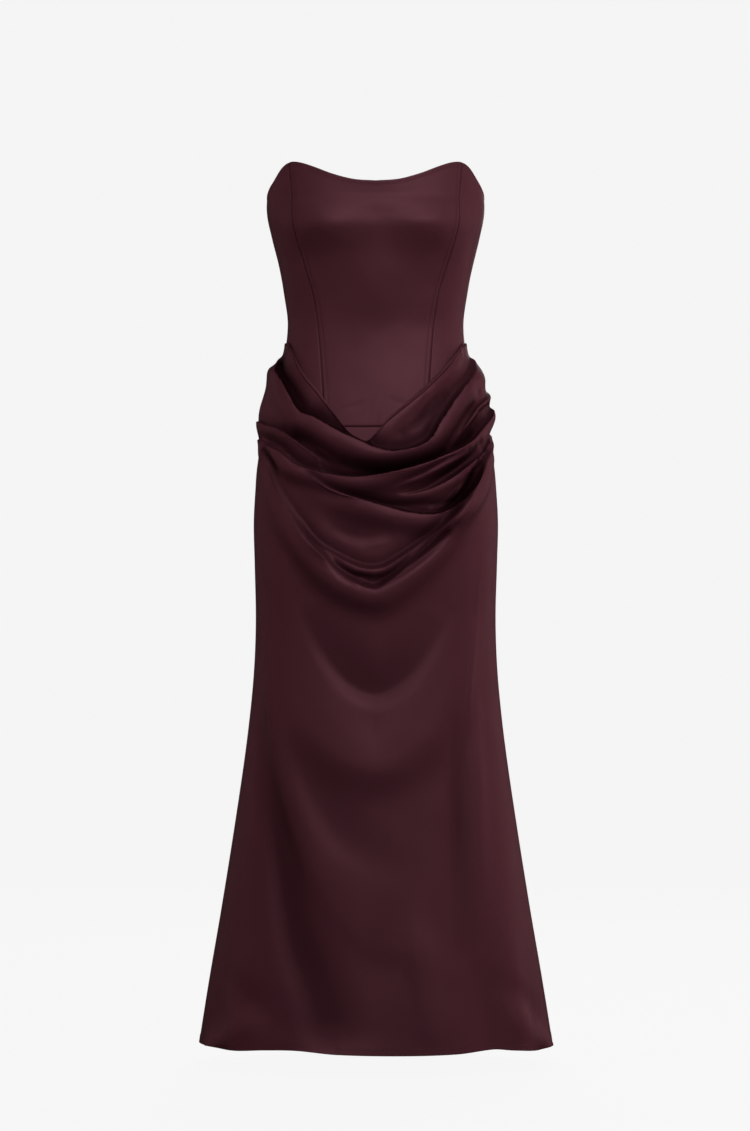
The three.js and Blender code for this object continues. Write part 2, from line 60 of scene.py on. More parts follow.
# The gap at a seam, how deep and wide the cloth turns in beside it, and how dark and how wide
# the shade painted along it is.
SEAM = {"gap": 0.1, "deep": 0.8, "wide": 1.3, "dark": 0.55, "painted_shade_wide": 1.1}
# The boning channel: its rise, where its stitches lie beyond it, their dip and the shade
# painted along them.
CHANNEL = {"rise": 0.2, "stitch": 0.2, "dip": 0.25, "dark": 0.5}
# Each thread's stitches: length, gap and radius, and how far the hem's lie off the figure.
STITCHES = {"boning": (2.3, 0.9, 0.16), "hem": (2.6, 1.0, 0.17)}
HEM_STITCH = 0.72
# How far the cloth stands off the solids, and the rise of each turned edge.
PROUD = {"bodice": 0.3, "skirt": 0.25}
TURNED = {"neck": 0.45, "hem": 0.4, "cowl": 0.3}
COWL_TURN = 5.0
# Soft unevenness: its height, the size of its waves, and the seed of their directions.
UNEVEN = {"bodice": (0.35, 70, 3), "bodice_fine": (0.12, 24, 8), "front": (0.15, 70, 5),
          "back": (1.6, 95, 11)}
# How often two measures that depend on each other are worked out in turn.
TRIALS = 8
# How far a cloth's rim bulges, as a share of its thickness.
RIM_BULGE = 0.32
# What is left of the dye's red, green and blue in full painted shade, as where no light gets in.
DYE_LEFT_IN_PAINTED_SHADE = (0.06, 0.02, 0.03)
THREAD_STRETCH = (1.0, 0.12, 1.0)


# Tables

def table(columns, *lines):
    """A table with named columns, each an array."""
    return {name: np.array([line[i] for line in lines], float)
            for i, name in enumerate(columns.split())}


# Half the gown's width at each height, and how far its front and back stand from the middle.
SECTIONS = table(
    "z half front back",
    (-1195, 251, 182, 190),
    (-1100, 236, 167, 173),
    (-1000, 219, 152, 156),
    (-900, 203, 138, 141),
    (-800, 188, 126, 128),
    (-730, 179, 119, 121),
    (-660, 172.5, 115, 117),
    (-590, 170, 112, 117),
    (-510, 171.5, 110, 121),
    (-450, 172.5, 109, 125),
    (-400, 169, 108, 125),
    (-345, 161.5, 105, 120),
    (-300, 153, 101, 111),
    (-250, 140, 95, 97),
    (-205, 127.5, 89, 85),
    (-170, 124.5, 86, 80),
    (-135, 128.5, 89, 81),
    (-92, 136.5, 96, 84),
    (-45, 148, 106, 87),
    (-22, 153, 110, 87.6),
    (0, 154.5, 113, 88),
    (60, 149.5, 105, 85),
)
FRONT_SQUARE = 0.2
BACK_SQUARE = 0.14
CUP = {"x": 74, "z": -34, "rise": 11, "wide": 42, "tall": 32}
LEAN = {"back": 6, "from": -40, "to": 10, "up": 0.13, "up_from": 8}
BRIDGE = {"z": -128, "rise": 8.5, "wide": 38, "tall": 62}

# The top edge's height against the turn from the centre front.
NECKLINE = table(
    "turn z",
    (0, 25.5), (12, 28), (24, 36), (36, 46.5), (46, 53), (54, 53.5),
    (62, 46), (74, 26), (90, 12), (120, 7), (180, 5),
)
# How far the princess seams lie from the centre front.
PRINCESS_SEAM = table(
    "z x",
    (-330, 70), (-260, 75), (-213, 78), (-170, 82), (-132, 88),
    (-97, 98), (-47, 113), (-7, 120.5), (53, 121.5),
)
# The cowl's edge, seen from the front.
COWL_EDGE = table(
    "x z",
    (-125, -198), (-106, -237), (-81, -271), (-61, -298), (-43, -322), (-27, -334), (-13, -339),
    (3, -326), (16, -310), (34, -294), (62, -270), (81, -251), (104, -226), (125, -198),
)
# The skirt front's rows: the height at the side seams and at the lowest point, how square the
# sag is, and the steps from that row to the next.
SKIRT_ROWS = table(
    "side low power steps",
    (-198, -339, 1.6, 20),
    (-232, -356, 2.3, 38),
    (-290, -394, 2.1, 38),
    (-335, -434, 1.9, 36),
    (-362, -500, 1.4, 25),
    (-392, -552, 1.3, 22),
    (-540, -710, 1.5, 18),
    (-800, -900, 1.6, 24),
    (HEM, HEM, 1.6, 0),
)
SKIRT_COLUMNS = (196, 0.5, 430)
# The rows beside the cowl's edge and beside the hem, as shares of their stretches.
EDGE_SHARES = (0.0, 0.03, 0.06)
HEM_SHARES = (0.996, 0.9985, 1.0)
# The other panels' grids: columns and width, rows and length, and the first step at an edge.
GRIDS = {
    "bodice_front_centre": (92, 200, 150, 350, 0.45),
    "bodice_front": (34, 90, 130, 350, 0.45),
    "bodice_back": (56, 90, 120, 350, 0.45),
    "front_yoke": (90, 430, 16, 44, 0.5),
    "skirt_back": (96, 270, 190, 880, 0.5),
}
# How far the skirt front stands off the figure, at the right and left side seams and in the
# middle.
FULLNESS = table(
    "z right left middle",
    (-1195, 0, 0, 0), (-700, 0, 0, 0.5), (-600, 0, 0, 2), (-520, 0.3, 0.8, 5),
    (-420, 1, 1.5, 6.5), (-365, 2, 2, 7), (-345, 2.8, 0, 7), (-328, 9, 3, 7),
    (-305, 13.5, 12, 7), (-292, 14.5, 13.5, 6.6), (-281, 14, 16.5, 6.2), (-265, 13, 13, 5.5),
    (-253, 12.5, 12, 5), (-239, 11.5, 7, 4.6), (-228, 4, 3.2, 4.1), (-214, 2.8, 2.6, 3.5),
    (-198, 2.6, 2.4, 3),
)
OVER_BODICE = {"least": 2.4, "from": -372, "to": -430}
# The calm band beside each side seam, and the radius that turns a turn into a way across.
SEAM_BAND = 15
ACROSS = 136

# The waves of the skirt's lower part: the turn, the ridge's height at the hem or the trough's
# depth, how wide it is, and how far up the skirt it starts.
FLUTES = table(
    "turn rise wide start",
    (-66, -7, 11, -900), (-50, 6, 10, -960), (-14, 5, 14, -1000), (22, 5, 10, -940),
    (41, -8, 9, -900), (55, 8, 9, -860), (71, -6, 8, -960), (112, 8, 13, -800),
    (138, -9, 12, -760), (160, 9, 12, -780), (202, 10, 12, -760), (224, -8, 12, -800),
    (248, 8, 13, -820),
)
HEM_LIFT = table(
    "turn lift",
    (-90, 0), (-66, 2), (-50, 1.5), (-38, 5), (-26, 6), (-12, 1.5), (8, 0), (26, 1), (42, 6),
    (50, 2), (58, -1), (76, -2.5), (90, 0), (138, 7), (180, 1), (224, 6), (270, 0),
)


def fold(path, rise, above, below, tuck=0.0, pocket=(0.0, 1.0), dark=(0, 0, 0)):
    """A fold of the skirt front. path is its crest as (x, z) seen from the front, rise its height
    at the start, middle and end, and above and below its reach. tuck is how far the cloth above it
    is drawn down behind the crest, and pocket how deep that cloth sinks there and its reach. dark
    is how much shade is painted into the pocket, or into a trough, at the start, middle and end,
    as little light gets in there."""
    return {"path": np.array(path, float), "rise": rise, "above": above, "below": below,
            "tuck": tuck, "pocket": pocket, "dark": dark}


# Each fold's dark is the shade painted into its pocket or its trough, where little light gets in.
FOLDS = {
    "rolled edge": fold([(-5, -333), (27, -309), (55, -284), (90, -248), (118, -213)],
        (1, 4.5, 2.5), 7, 10),
    "second lip": fold([(-136, -216), (-124, -259), (-101, -300), (-86, -305), (-31, -336),
        (22, -353), (70, -341), (90, -309), (117, -266), (135, -217)], (5, 16, 7), 4, 27, 5,
        (8, 15), (0.95, 0.85, 0.4)),
    "under the second lip": fold([(-124, -322), (-95, -337), (-71, -357), (-43, -369), (-5, -375),
        (34, -372), (69, -363), (90, -349), (108, -322), (121, -301), (137, -273)], (-1, -4, -3),
        10, 7, dark=(0.75, 0.5, 0.6)),
    "right hip pleat": fold([(-160, -312), (-138, -320), (-120, -332), (-101, -347), (-82, -367)],
        (3, 5, 1), 3, 15, 4, (3, 8), (0.5, 0.7, 0.4)),
    "third lip": fold([(-161, -340), (-134, -353), (-111, -371), (-89, -379), (-31, -389),
        (38, -379), (107, -354), (131, -339), (147, -320), (158, -287), (160, -270)], (5, 14, 4),
        4, 20, 6, (9, 17), (0.4, 0.98, 0.6)),
    "right hip dimple": fold([(-158, -346), (-152, -358), (-144, -374), (-134, -392)], (-2, -4, 0),
        7, 7, dark=(0.6, 0.6, 0)),
    "left hip ridge": fold([(101, -349), (111, -339), (124, -316), (139, -291), (151, -268)],
        (2, 6, 2), 3.5, 7, 2, (2, 6), (0.4, 0.6, 0.4)),
    "left hip hollow": fold([(108, -346), (118, -338), (133, -322), (143, -296)], (-1, -6, -2), 5,
        6, dark=(0.2, 0.7, 0.3)),
    "third layer hollow": fold([(10, -404), (31, -395), (65, -383), (97, -364), (125, -350)],
        (0, -4.5, -2), 5, 5, dark=(0, 0.5, 0.5)),
    "third layer trough": fold([(42, -407), (65, -400), (88, -387), (117, -367), (144, -341)],
        (-1, -7, -5), 6, 6, dark=(0.3, 0.9, 0.8)),
    "left hip lip": fold([(0, -412), (24, -414), (58, -411), (91, -399), (131, -370), (153, -351),
        (165, -331)], (0, 7, 3), 3.5, 10, 3, (4, 7), (0.1, 0.8, 0.6)),
    "over the fourth lip": fold([(-101, -375), (-80, -386), (-50, -402), (-15, -414), (18, -421),
        (78, -423), (104, -418), (124, -405), (141, -370)], (0, -2, -3), 6, 5,
        dark=(0.2, 0.6, 0.9)),
    "tucked end": fold([(80, -432), (104, -417), (118, -399), (130, -382)], (2, 6.5, 1), 4, 4.5, 2,
        (2, 6), (0.3, 0.7, 0.3)),
    "fourth lip": fold([(-106, -379), (-66, -405), (-15, -421), (45, -437), (80, -440),
        (104, -432), (137, -400), (153, -363), (161, -348)], (2, 12, 3), 4, 25, 5, (8, 11),
        (0.5, 0.92, 0.6)),
    "hollow of the lower cowl": fold([(-60, -430), (-50, -450), (-30, -463), (-5, -466),
        (30, -460)], (0, -3, 0), 18, 16, dark=(0.1, 0.35, 0.1)),
    "fifth lip": fold([(-120, -420), (-94, -472), (-66, -494), (-25, -515), (-5, -518), (16, -514),
        (62, -483), (104, -444), (123, -420)], (0, 7, 3), 4.5, 9, 0, (3, 14), (0.1, 0.5, 0.6)),
    "between the lower lips": fold([(-20, -531), (-2, -536), (13, -532), (45, -511), (76, -487),
        (104, -457)], (-1, -5, -2), 7, 7, dark=(0.3, 0.5, 0.6)),
    "sixth lip": fold([(-154, -366), (-130, -424), (-106, -462), (-80, -494), (-47, -527),
        (-2, -546), (20, -534), (51, -508), (79, -480), (125, -420), (158, -355)], (4, 14, 3), 5.5,
        27, 0, (5, 11), (0.4, 0.45, 0.65)),
    "hollow of the thigh swag": fold([(-100, -560), (-80, -606), (-54, -646), (-26, -676),
        (2, -686), (38, -664), (66, -626), (95, -580)], (-1, -5, -1), 36, 15,
        dark=(0.1, 0.3, 0.1)),
    "thigh swag": fold([(-150, -540), (-126, -626), (-104, -690), (-73, -734), (-38, -766),
        (2, -780), (38, -758), (76, -708), (101, -658), (130, -586), (142, -530)], (1, 6.5, 1), 40,
        38),
    "knee hollow": fold([(-120, -712), (-96, -784), (-64, -850), (-31, -894), (20, -920),
        (60, -900)], (0, -3.5, 0), 28, 22, dark=(0, 0.25, 0)),
    "right knee ridge": fold([(-158, -600), (-148, -690), (-134, -766), (-119, -830), (-96, -900),
        (-64, -962), (-26, -1008), (10, -1040)], (1, 6, 1), 30, 16),
    "right knee trough": fold([(-160, -700), (-152, -784), (-136, -878), (-124, -947),
        (-102, -1041), (-78, -1100), (-58, -1165)], (-1, -8, -5), 20, 22, dark=(0.15, 0.45, 0.4)),
    "left knee ridge": fold([(139, -600), (136, -700), (140, -800), (142, -920), (148, -1060)],
        (1, 4.5, 1), 14, 12),
    "left knee trough": fold([(112, -700), (114, -800), (116, -920), (122, -1060)],
        (-0.5, -3.5, -0.5), 12, 12, dark=(0.1, 0.3, 0.1)),
}

# Finer creases, which only the cloth itself shows.
CREASES = {
    "ridge beside the edge": fold([(104, -228), (78, -262), (48, -292), (16, -318)],
        (0.5, 1.6, 0.4), 4, 5),
    "crease beside the edge": fold([(104, -263), (82, -290), (59, -315), (34, -331)],
        (-0.8, -4, -1), 6, 6, dark=(0.3, 0.6, 0.5)),
    "short ridge": fold([(88, -287), (76, -307), (65, -325)], (0.4, 1.8, 0.5), 3.5, 4),
    "crease of the second layer": fold([(-116, -247), (-106, -275), (-95, -296)],
        (-0.3, -1.4, -0.3), 3.5, 4),
    "ridge of the second layer": fold([(-99, -339), (-78, -353), (-58, -367), (-37, -379)],
        (0.4, 2, 0.5), 3, 4),
    "ridge of the third layer": fold([(117, -360), (92, -375), (58, -393), (24, -407)],
        (0.8, 3, 0.5), 3.5, 4),
    "ridge in the cowl": fold([(-19, -476), (5, -478), (27, -472)], (0.2, 0.7, 0.2), 7, 8),
    "small dart crease": fold([(-50, -528), (-19, -526), (3, -531)], (-0.4, -2.2, -0.6), 4, 4),
    "fine thigh ridge": fold([(-158, -560), (-155, -620), (-144, -714), (-131, -790),
        (-122, -840)], (0.6, 2.2, 0.3), 4, 5),
    "left thigh ridge": fold([(146, -540), (139, -600), (128, -704), (110, -822)], (0.5, 2, 0.3),
        4, 5),
    "low centre ridge": fold([(60, -960), (66, -1060), (84, -1160)], (0, 2.2, 1), 12, 12),
    "low centre hollow": fold([(20, -960), (8, -1060), (-4, -1160)], (0, -2.2, -1), 12, 12),
    "right hem corner": fold([(-236, -1184), (-192, -1160), (-156, -1130)], (5, 3, 0), 11, 13),
    "right hem hollow": fold([(-205, -1090), (-172, -1120), (-130, -1146)], (-1, -4, -1), 18, 14),
    "left hem corner": fold([(178, -1126), (206, -1156), (244, -1184)], (0, 3, 5), 11, 13),
    "left hem hollow": fold([(176, -1092), (206, -1118), (228, -1140)], (-1, -3.5, -1), 12, 12),
}

# Soft folds of the skirt's back: the turn at the upper and the lower end, the heights of the
# ends, how far it stands out or sinks in, and its width as a turn.
BACK_FOLDS = table(
    "start end high low rise wide",
    (103, 112, -350, -860, 2.6, 4), (112, 122, -420, -980, -2.4, 4),
    (127, 133, -380, -1000, 2.4, 5), (143, 146, -450, -1100, -2.6, 4),
    (155, 151, -400, -900, 2.2, 4), (168, 163, -520, -1050, -2, 3.5),
    (191, 199, -430, -960, 2.3, 4), (205, 214, -500, -1100, -2.6, 5),
    (222, 226, -370, -900, 2.5, 4), (235, 232, -430, -1000, -2.2, 4),
    (249, 240, -350, -880, 2.6, 4), (258, 252, -420, -900, -2, 3.5),
)
# Small wrinkles of the bodice: the middle's turn and height, how the line slants in millimetres
# for each degree, how far it stands out or sinks in, its width, and half its length as a turn.
WRINKLES = table(
    "turn z slant rise wide long",
    (118, -188, 0.3, -0.8, 4, 15), (132, -201, 0.2, 0.9, 4, 16), (150, -192, -0.2, -0.7, 4, 14),
    (164, -214, 0.1, 0.7, 4, 12), (196, -206, 0.2, 0.8, 4, 13), (212, -190, -0.3, -0.9, 4, 15),
    (236, -204, -0.2, 0.8, 4, 16), (246, -222, 0.3, -0.7, 4, 12), (70, -196, 0.3, -0.5, 4, 9),
    (-72, -203, -0.3, -0.6, 4, 9), (-3, -296, 6, -0.5, 9, 2), (3, -298, 9, 0.6, 9, 2),
    (-12, -290, 0.8, -0.5, 4, 7), (13, -284, -0.6, -0.4, 4, 6),
)

# The soft boxes of the studio, in metres: name, place, width, height, and share of the power.
# Those further to the side than SIDE_FROM are tinted, as cloth of one colour lights itself.
LIGHTS = (
    ("front", 0.5, -2.6, 0.35, 1.6, 0.5, 0.12),
    ("front high", 0.5, -2.4, 0.95, 1.6, 0.6, 0.16),
    ("over the front", 0.3, -1.7, 1.6, 1.6, 0.8, 0.12),
    ("front right", 2.2, -2.0, 0.8, 0.8, 1.2, 0.055),
    ("right", 2.9, -0.1, -0.2, 0.6, 2.0, 0.12),
    ("left", -2.9, -0.1, -0.2, 0.6, 2.0, 0.08),
    ("back right", 2.5, 1.9, 0.0, 0.8, 2.4, 0.14),
    ("back left", -2.5, 1.9, 0.0, 0.8, 2.4, 0.06),
    ("back", 0.4, 2.9, 0.6, 1.8, 1.2, 0.3),
)
LIGHT_AIM = -0.3
SIDE_FROM = 2.3
SIDE_TINT = (1.0, 0.55, 0.62)
# The paper's floor, bend and wall, in metres, and its numbers of sides and rings.
PAPER = {"floor": 14.0, "bend": 3.0, "high": 20.0, "sides": 48, "rings": 8, "arcs": 10}

# The slider's height and stem, the coil and its teeth, and how far inside the back they lie.
ZIP = {"z": -9.0, "stem": 1.6, "clear": 0.4, "round": 0.3, "pitch": 1.6, "tooth": (1.5, 0.7, 0.55),
       "tooth_off": 0.8, "coil_below": 8, "coil_bottom": -300.0, "coil_in": 3.4,
       "tape_in": 2.35, "tape_thick": 0.35}


# Curves and shapes

def curve(xs, ys, at):
    """A smooth curve through the points xs, ys, read where x is at: cubics whose slope at a point
    is that of the line between its two neighbours."""
    order = np.argsort(xs)
    xs, ys = xs[order], ys[order]
    last = len(xs) - 1
    at = np.clip(at, xs[0], xs[-1])
    i = np.clip(np.searchsorted(xs, at, side="right") - 1, 0, last - 1)
    low = np.maximum(np.arange(last + 1) - 1, 0)
    high = np.minimum(np.arange(last + 1) + 1, last)
    slope = (ys[high] - ys[low]) / (xs[high] - xs[low])
    step = xs[i + 1] - xs[i]
    s = (at - xs[i]) / step
    ends = (1 + 2 * s) * (1 - s) ** 2 * ys[i] + s * s * (3 - 2 * s) * ys[i + 1]
    turns = s * (1 - s) ** 2 * slope[i] + s * s * (s - 1) * slope[i + 1]
    return ends + turns * step


def along(rows, value, at):
    """One column of a table where its first column is at."""
    return curve(rows[next(iter(rows))], rows[value], np.asarray(at, float))


def smooth(start, end, at):
    """0 before start and 1 after end, with an S-shaped rise between them."""
    t = np.clip((at - start) / (end - start), 0, 1)
    return t * t * (3 - 2 * t)


def bell(distance, width):
    """A soft bump that is 1 in the middle and falls to about a third at width."""
    return np.exp(-((distance / width) ** 2))


def shoulder(distance, width):
    """A bump like bell, but with a broad crest that still rises a little before it falls."""
    return np.exp(-((distance / width) ** 3)) * (1 + 0.4 * distance / width)


def unit(vectors):
    """Vectors of length 1 in the same directions."""
    return vectors / np.maximum(np.linalg.norm(vectors, axis=-1, keepdims=True), 1e-9)


def ripple(points, height, size, seed, waves=14):
    """Soft unevenness up to about height: the mean of waves of about one size in random
    directions."""
    rng = np.random.default_rng(seed)
    ways = unit(rng.normal(size=(waves, 3)))
    sizes = size * rng.uniform(0.7, 1.6, waves)
    phases = rng.uniform(0, 2 * math.pi, waves)
    turns = points @ (ways / sizes[:, None]).T * 2 * math.pi + phases
    return height * (np.sin(turns).sum(-1) / math.sqrt(waves))


def figure(turn, z):
    """The figure that the gown is cut for. Its section is an ellipse made a little squarer,
    x = half sin(turn) and y = -depth cos(turn) (1 + square sin(turn)^2), with one depth in front
    and one at the back, and a soft bump over each side of the bust."""
    half = along(SECTIONS, "half", z)
    sin = np.sin(np.radians(turn))
    cos = np.cos(np.radians(turn))
    in_front = cos > 0
    depth = np.where(in_front, along(SECTIONS, "front", z), along(SECTIONS, "back", z))
    square = 1 + np.where(in_front, FRONT_SQUARE, BACK_SQUARE) * sin * sin
    x = half * sin
    cups = bell(x - CUP["x"], CUP["wide"]) + bell(x + CUP["x"], CUP["wide"])
    bust = CUP["rise"] * cups * bell(z - CUP["z"], CUP["tall"]) * smooth(0, 0.3, cos)
    return np.stack([x, -depth * cos * square - bust, z + 0 * x], axis=-1)


def outward(turn, z):
    """The figure's outward normal: the cross product of the steps to the points just beside and
    just above."""
    beside, above = 0.8, 2.0
    across = figure(turn + beside, z) - figure(turn - beside, z)
    up = figure(turn, z + above) - figure(turn, z - above)
    return unit(np.cross(across, up))


def flutes(turn, z):
    """How far the skirt's lower part waves out of the figure: bumps of the turn that grow from
    nothing, at their start, to their full height at the hem."""
    sum_of = np.zeros(np.broadcast(turn, z).shape)
    for at, rise, wide, start in zip(*FLUTES.values()):
        away = (turn - at + 540) % 360 - 180
        sum_of += rise * bell(away, wide) * smooth(start, HEM, z) ** 1.5
    return sum_of


def way_along(points, axis=0):
    """How far along a path, or along each line of a grid, its points lie."""
    step = np.linalg.norm(np.diff(points, axis=axis), axis=-1)
    return np.cumsum(np.insert(step, 0, 0, axis=axis), axis=axis)


def read_along(values, far, at):
    """Rows of values that are given at the distances far, read at other distances."""
    return np.stack([np.interp(at, far, column) for column in values.T], axis=1)


def front_half(z):
    """Half the width of the skirt front."""
    return along(SECTIONS, "half", z) + along(FULLNESS, "middle", z)


def crest_of(crease):
    """The crease's crest in cloth sizes, as evenly spaced points of a smooth path: the way round
    the front from its middle, and height."""
    x, z = crease["path"].T
    points = np.stack([ACROSS * np.arcsin(np.clip(x / front_half(z), -1, 1)), z])
    far = way_along(points.T)
    at = np.linspace(0, far[-1], 6 * len(x))
    return np.stack([curve(far, values, at) for values in points], axis=1)


def by_thirds(values, share):
    """A value that goes smoothly from the first to the middle to the last of three."""
    first, middle, last = values
    return np.where(share < 0.5, first + (middle - first) * smooth(0, 0.5, share),
                    middle + (last - middle) * smooth(0.5, 1, share))


def fold_at(crease, across, z):
    """How far one fold lifts the points of the cloth, draws them along it, and paints shade on
    them.
    The lift is a soft bump of the distance from the crest. The cloth above a tucked crest is drawn
    to it."""
    line = crest_of(crease)
    step = np.diff(line, axis=0)
    reach = 2.6 * max(crease["above"], crease["below"], crease["pocket"][1])
    low, high = line.min(0) - reach, line.max(0) + reach
    near = (across > low[0]) & (across < high[0]) & (z > low[1]) & (z < high[1])
    lift = np.zeros(across.shape)
    draw = np.zeros(across.shape + (2,))
    dark = np.zeros(across.shape)
    away = np.stack([across[near], z[near]], axis=1)[:, None] - line[:-1]
    t = np.clip((away * step).sum(-1) / (step ** 2).sum(-1), 0, 1)
    off = away - t[..., None] * step
    nearest = np.argmin((off ** 2).sum(-1), axis=1)
    row = np.arange(len(nearest))
    off = off[row, nearest]
    distance = np.linalg.norm(off, axis=1)
    turned = step[nearest, 0] * off[:, 1] - step[nearest, 1] * off[:, 0]
    share = (nearest + t[row, nearest]) / len(step)
    rise = by_thirds(crease["rise"], share)
    above = turned > 0
    over, under = bell(distance, crease["above"]), shoulder(distance, crease["below"])
    bump = rise * np.where(above, over, under)
    deep, reach_up = crease["pocket"]
    # Shade painted into the pocket above a tucked crest, or into a trough.
    painted_shade_share = by_thirds(crease["dark"], share)
    ends = smooth(0, 0.06, share) * (1 - smooth(0.94, 1, share))
    if deep:
        sunk = deep * rise / max(crease["rise"]) * bell(distance, reach_up) * above
        bump = bump - sunk * (1 - over)
        full = np.minimum(1.3 * bell(distance, reach_up), 1)
        dark[near] = painted_shade_share * ends * full * smooth(-0.6, 0.8, np.sign(turned) * distance)
    else:
        dark[near] = painted_shade_share * ends * np.where(above, over, bell(distance, crease["below"]))
    lift[near] = bump
    if crease["tuck"]:
        w = distance / crease["above"]
        pull = crease["tuck"] * smooth(0, 0.25, share) * (1 - smooth(0.75, 1, share))
        pull = pull * w * np.exp(1 - w) * above
        draw[near] = -off / np.maximum(distance, 0.01)[:, None] * pull[:, None]
    return lift, draw, dark


def cowl_edge(turn):
    """The height of the cowl's edge. Its table is seen from the front, so the x at which it is
    read is found from the height by trial."""
    z = COWL_EDGE["z"].max() + 0 * turn
    for _ in range(TRIALS):
        x = front_half(z) * np.sin(np.radians(turn))
        z = 0.5 * (z + along(COWL_EDGE, "z", x))
    return z


def drape(turn, z):
    """How far the skirt front stands off the figure, is drawn along itself, and how much shade is
    painted on it: its fullness plus each fold, kept clear of the bodice, and calm beside the seams
    and edge."""
    across = ACROSS * np.radians(turn)
    from_seam = ACROSS * np.radians(90 - np.abs(turn))
    inside = smooth(0, SEAM_BAND, from_seam)
    at_side = np.abs(np.sin(np.radians(turn))) ** 8
    middle = along(FULLNESS, "middle", z)
    side = np.where(turn > 0, along(FULLNESS, "left", z), along(FULLNESS, "right", z))
    away = middle + (side - middle) * at_side
    drawn = np.zeros(across.shape + (2,))
    # light is what the shade painted by all the folds leaves of the dye.
    light = np.ones(across.shape)
    for crease in (*FOLDS.values(), *CREASES.values()):
        lift, draw, dark = fold_at(crease, across, z)
        away = away + lift
        drawn += draw
        light *= 1 - dark
    uneven = ripple(np.stack([across, z, 0 * z], -1), *UNEVEN["front"])
    away = away + uneven * smooth(-560, -700, z)
    over = smooth(OVER_BODICE["to"], OVER_BODICE["from"], z)
    least = OVER_BODICE["least"] * over
    kept = 0.5 * (away + least + np.hypot(away - least, 1))
    away = away + (kept - away) * over
    below_edge = smooth(-2, 14, cowl_edge(turn) - z)
    drawn = drawn * (inside * below_edge)[..., None]
    return least * (1 - inside) + away * inside, drawn, 1 - light


# Seam lines

def gap_turn(z):
    """Half the seam gap as a turn."""
    return np.degrees(SEAM["gap"] / 2 / along(SECTIONS, "front", z))


def neckline(turn):
    """The height of the top edge."""
    away = np.abs(turn)
    return along(NECKLINE, "z", np.where(away > 180, 360 - away, away))


def hemline(turn):
    """The height of the hem."""
    return HEM + along(HEM_LIFT, "lift", turn)


def princess(z):
    """The turn at which the princess seam lies."""
    half = along(SECTIONS, "half", z)
    return np.degrees(np.arcsin(along(PRINCESS_SEAM, "x", z) / half))


def back_edge(z):
    """Half the width of the opening at the centre back, as a turn. It is wider at the slider."""
    closed, open_ = SEAM["gap"] / 2, ZIP["stem"] / 2 + ZIP["clear"]
    half_gap = closed + (open_ - closed) * smooth(ZIP["z"] - 15, ZIP["z"] - 10, z)
    return np.degrees(half_gap / along(SECTIONS, "half", z))


def close_ends(count, first, length):
    """Shares from 0 to 1 that lie close together at both ends, where a seam bends the cloth. Their
    steps grow from first over the length."""
    edge = np.array([0, 1, 2, 3.2, 4.8, 7]) * first / length
    middle = np.linspace(edge[-1], 1 - edge[-1], count)
    return np.concatenate([edge[:-1], middle, 1 - edge[:-1][::-1]])


def panel_grid(name, from_turn, to_turn, bottom, top):
    """Turns and heights on a panel between two seams, which are turns at a height, and two edges,
    which are heights at a turn, and how far the points lie from all four."""
    kind = name.removesuffix("_left").removesuffix("_right")
    columns, wide, rows, long, first = GRIDS[kind]
    u, v = np.meshgrid(close_ends(columns, first, wide), close_ends(rows, first, long))
    z = HEM * (1 - v)
    for _ in range(TRIALS):
        turn = from_turn(z) + (to_turn(z) - from_turn(z)) * u
        z = bottom(turn) + (top(turn) - bottom(turn)) * v
    return turn, z, from_edges(figure(turn, z))


def skirt_grid():
    """Turns and heights on the skirt front, whose rows sag from side seam to side seam."""
    turn = (2 * close_ends(*SKIRT_COLUMNS) - 1)[None, :] * (90 - gap_turn(YOKE_BOTTOM))
    sin = np.abs(np.sin(np.radians(turn)))
    side, low, power, steps = SKIRT_ROWS.values()
    sags = [1 - sin ** square for square in power]
    sags[0] = (cowl_edge(turn) - side[0]) / (low[0] - side[0])
    rows = [side[k] + (low[k] - side[k]) * sags[k] for k in range(len(side))]
    last = len(rows) - 2
    heights = []
    for k in range(last + 1):
        share = np.arange(steps[k])[:, None] / steps[k]
        if k == 0:
            share = np.concatenate([np.array(EDGE_SHARES)[:, None], share[1:]])
        if k == last:
            share = np.concatenate([share * HEM_SHARES[0], np.array(HEM_SHARES)[:, None]])
        heights.append(rows[k] + (rows[k + 1] - rows[k]) * share)
    heights[last] += share * (hemline(turn) - HEM)
    z = np.concatenate(heights)[::-1]
    return np.broadcast_to(turn, z.shape).copy(), z


# Meshes

def grid_normals(points):
    """The normals of a grid of points: the cross product of the steps along its rows and
    columns."""
    return unit(np.cross(np.gradient(points, axis=1), np.gradient(points, axis=0)))


def from_edges(points):
    """Each grid point's distance along the cloth from the grid's first and last column, and from
    its first and last row."""
    left, low = way_along(points, 1), way_along(points)
    return left, left[:, -1:] - left, low, low[-1:] - low


def add_object(name, data):
    """A new object in the scene."""
    made = bpy.data.objects.new(name, data)
    bpy.context.scene.collection.objects.link(made)
    return made


def mesh_piece(name, vertices, faces, material, uv=None):
    """A mesh object from points in millimetres and quads, shaded smooth, with its UV map. A quad
    that names a corner twice becomes a triangle."""
    data = bpy.data.meshes.new(name)
    faces = [list(dict.fromkeys(face)) for face in faces.tolist()]
    data.from_pydata((vertices * MM).tolist(), [], faces)
    if uv is not None:
        layer = data.uv_layers.new(name="cloth")
        corners = np.empty(len(data.loops), np.int32)
        data.loops.foreach_get("vertex_index", corners)
        layer.data.foreach_set("uv", (uv[corners] * MM).astype(np.float32).ravel())
    data.polygons.foreach_set("use_smooth", np.ones(len(data.polygons), bool))
    data.materials.append(material)
    data.update()
    return add_object(name, data)


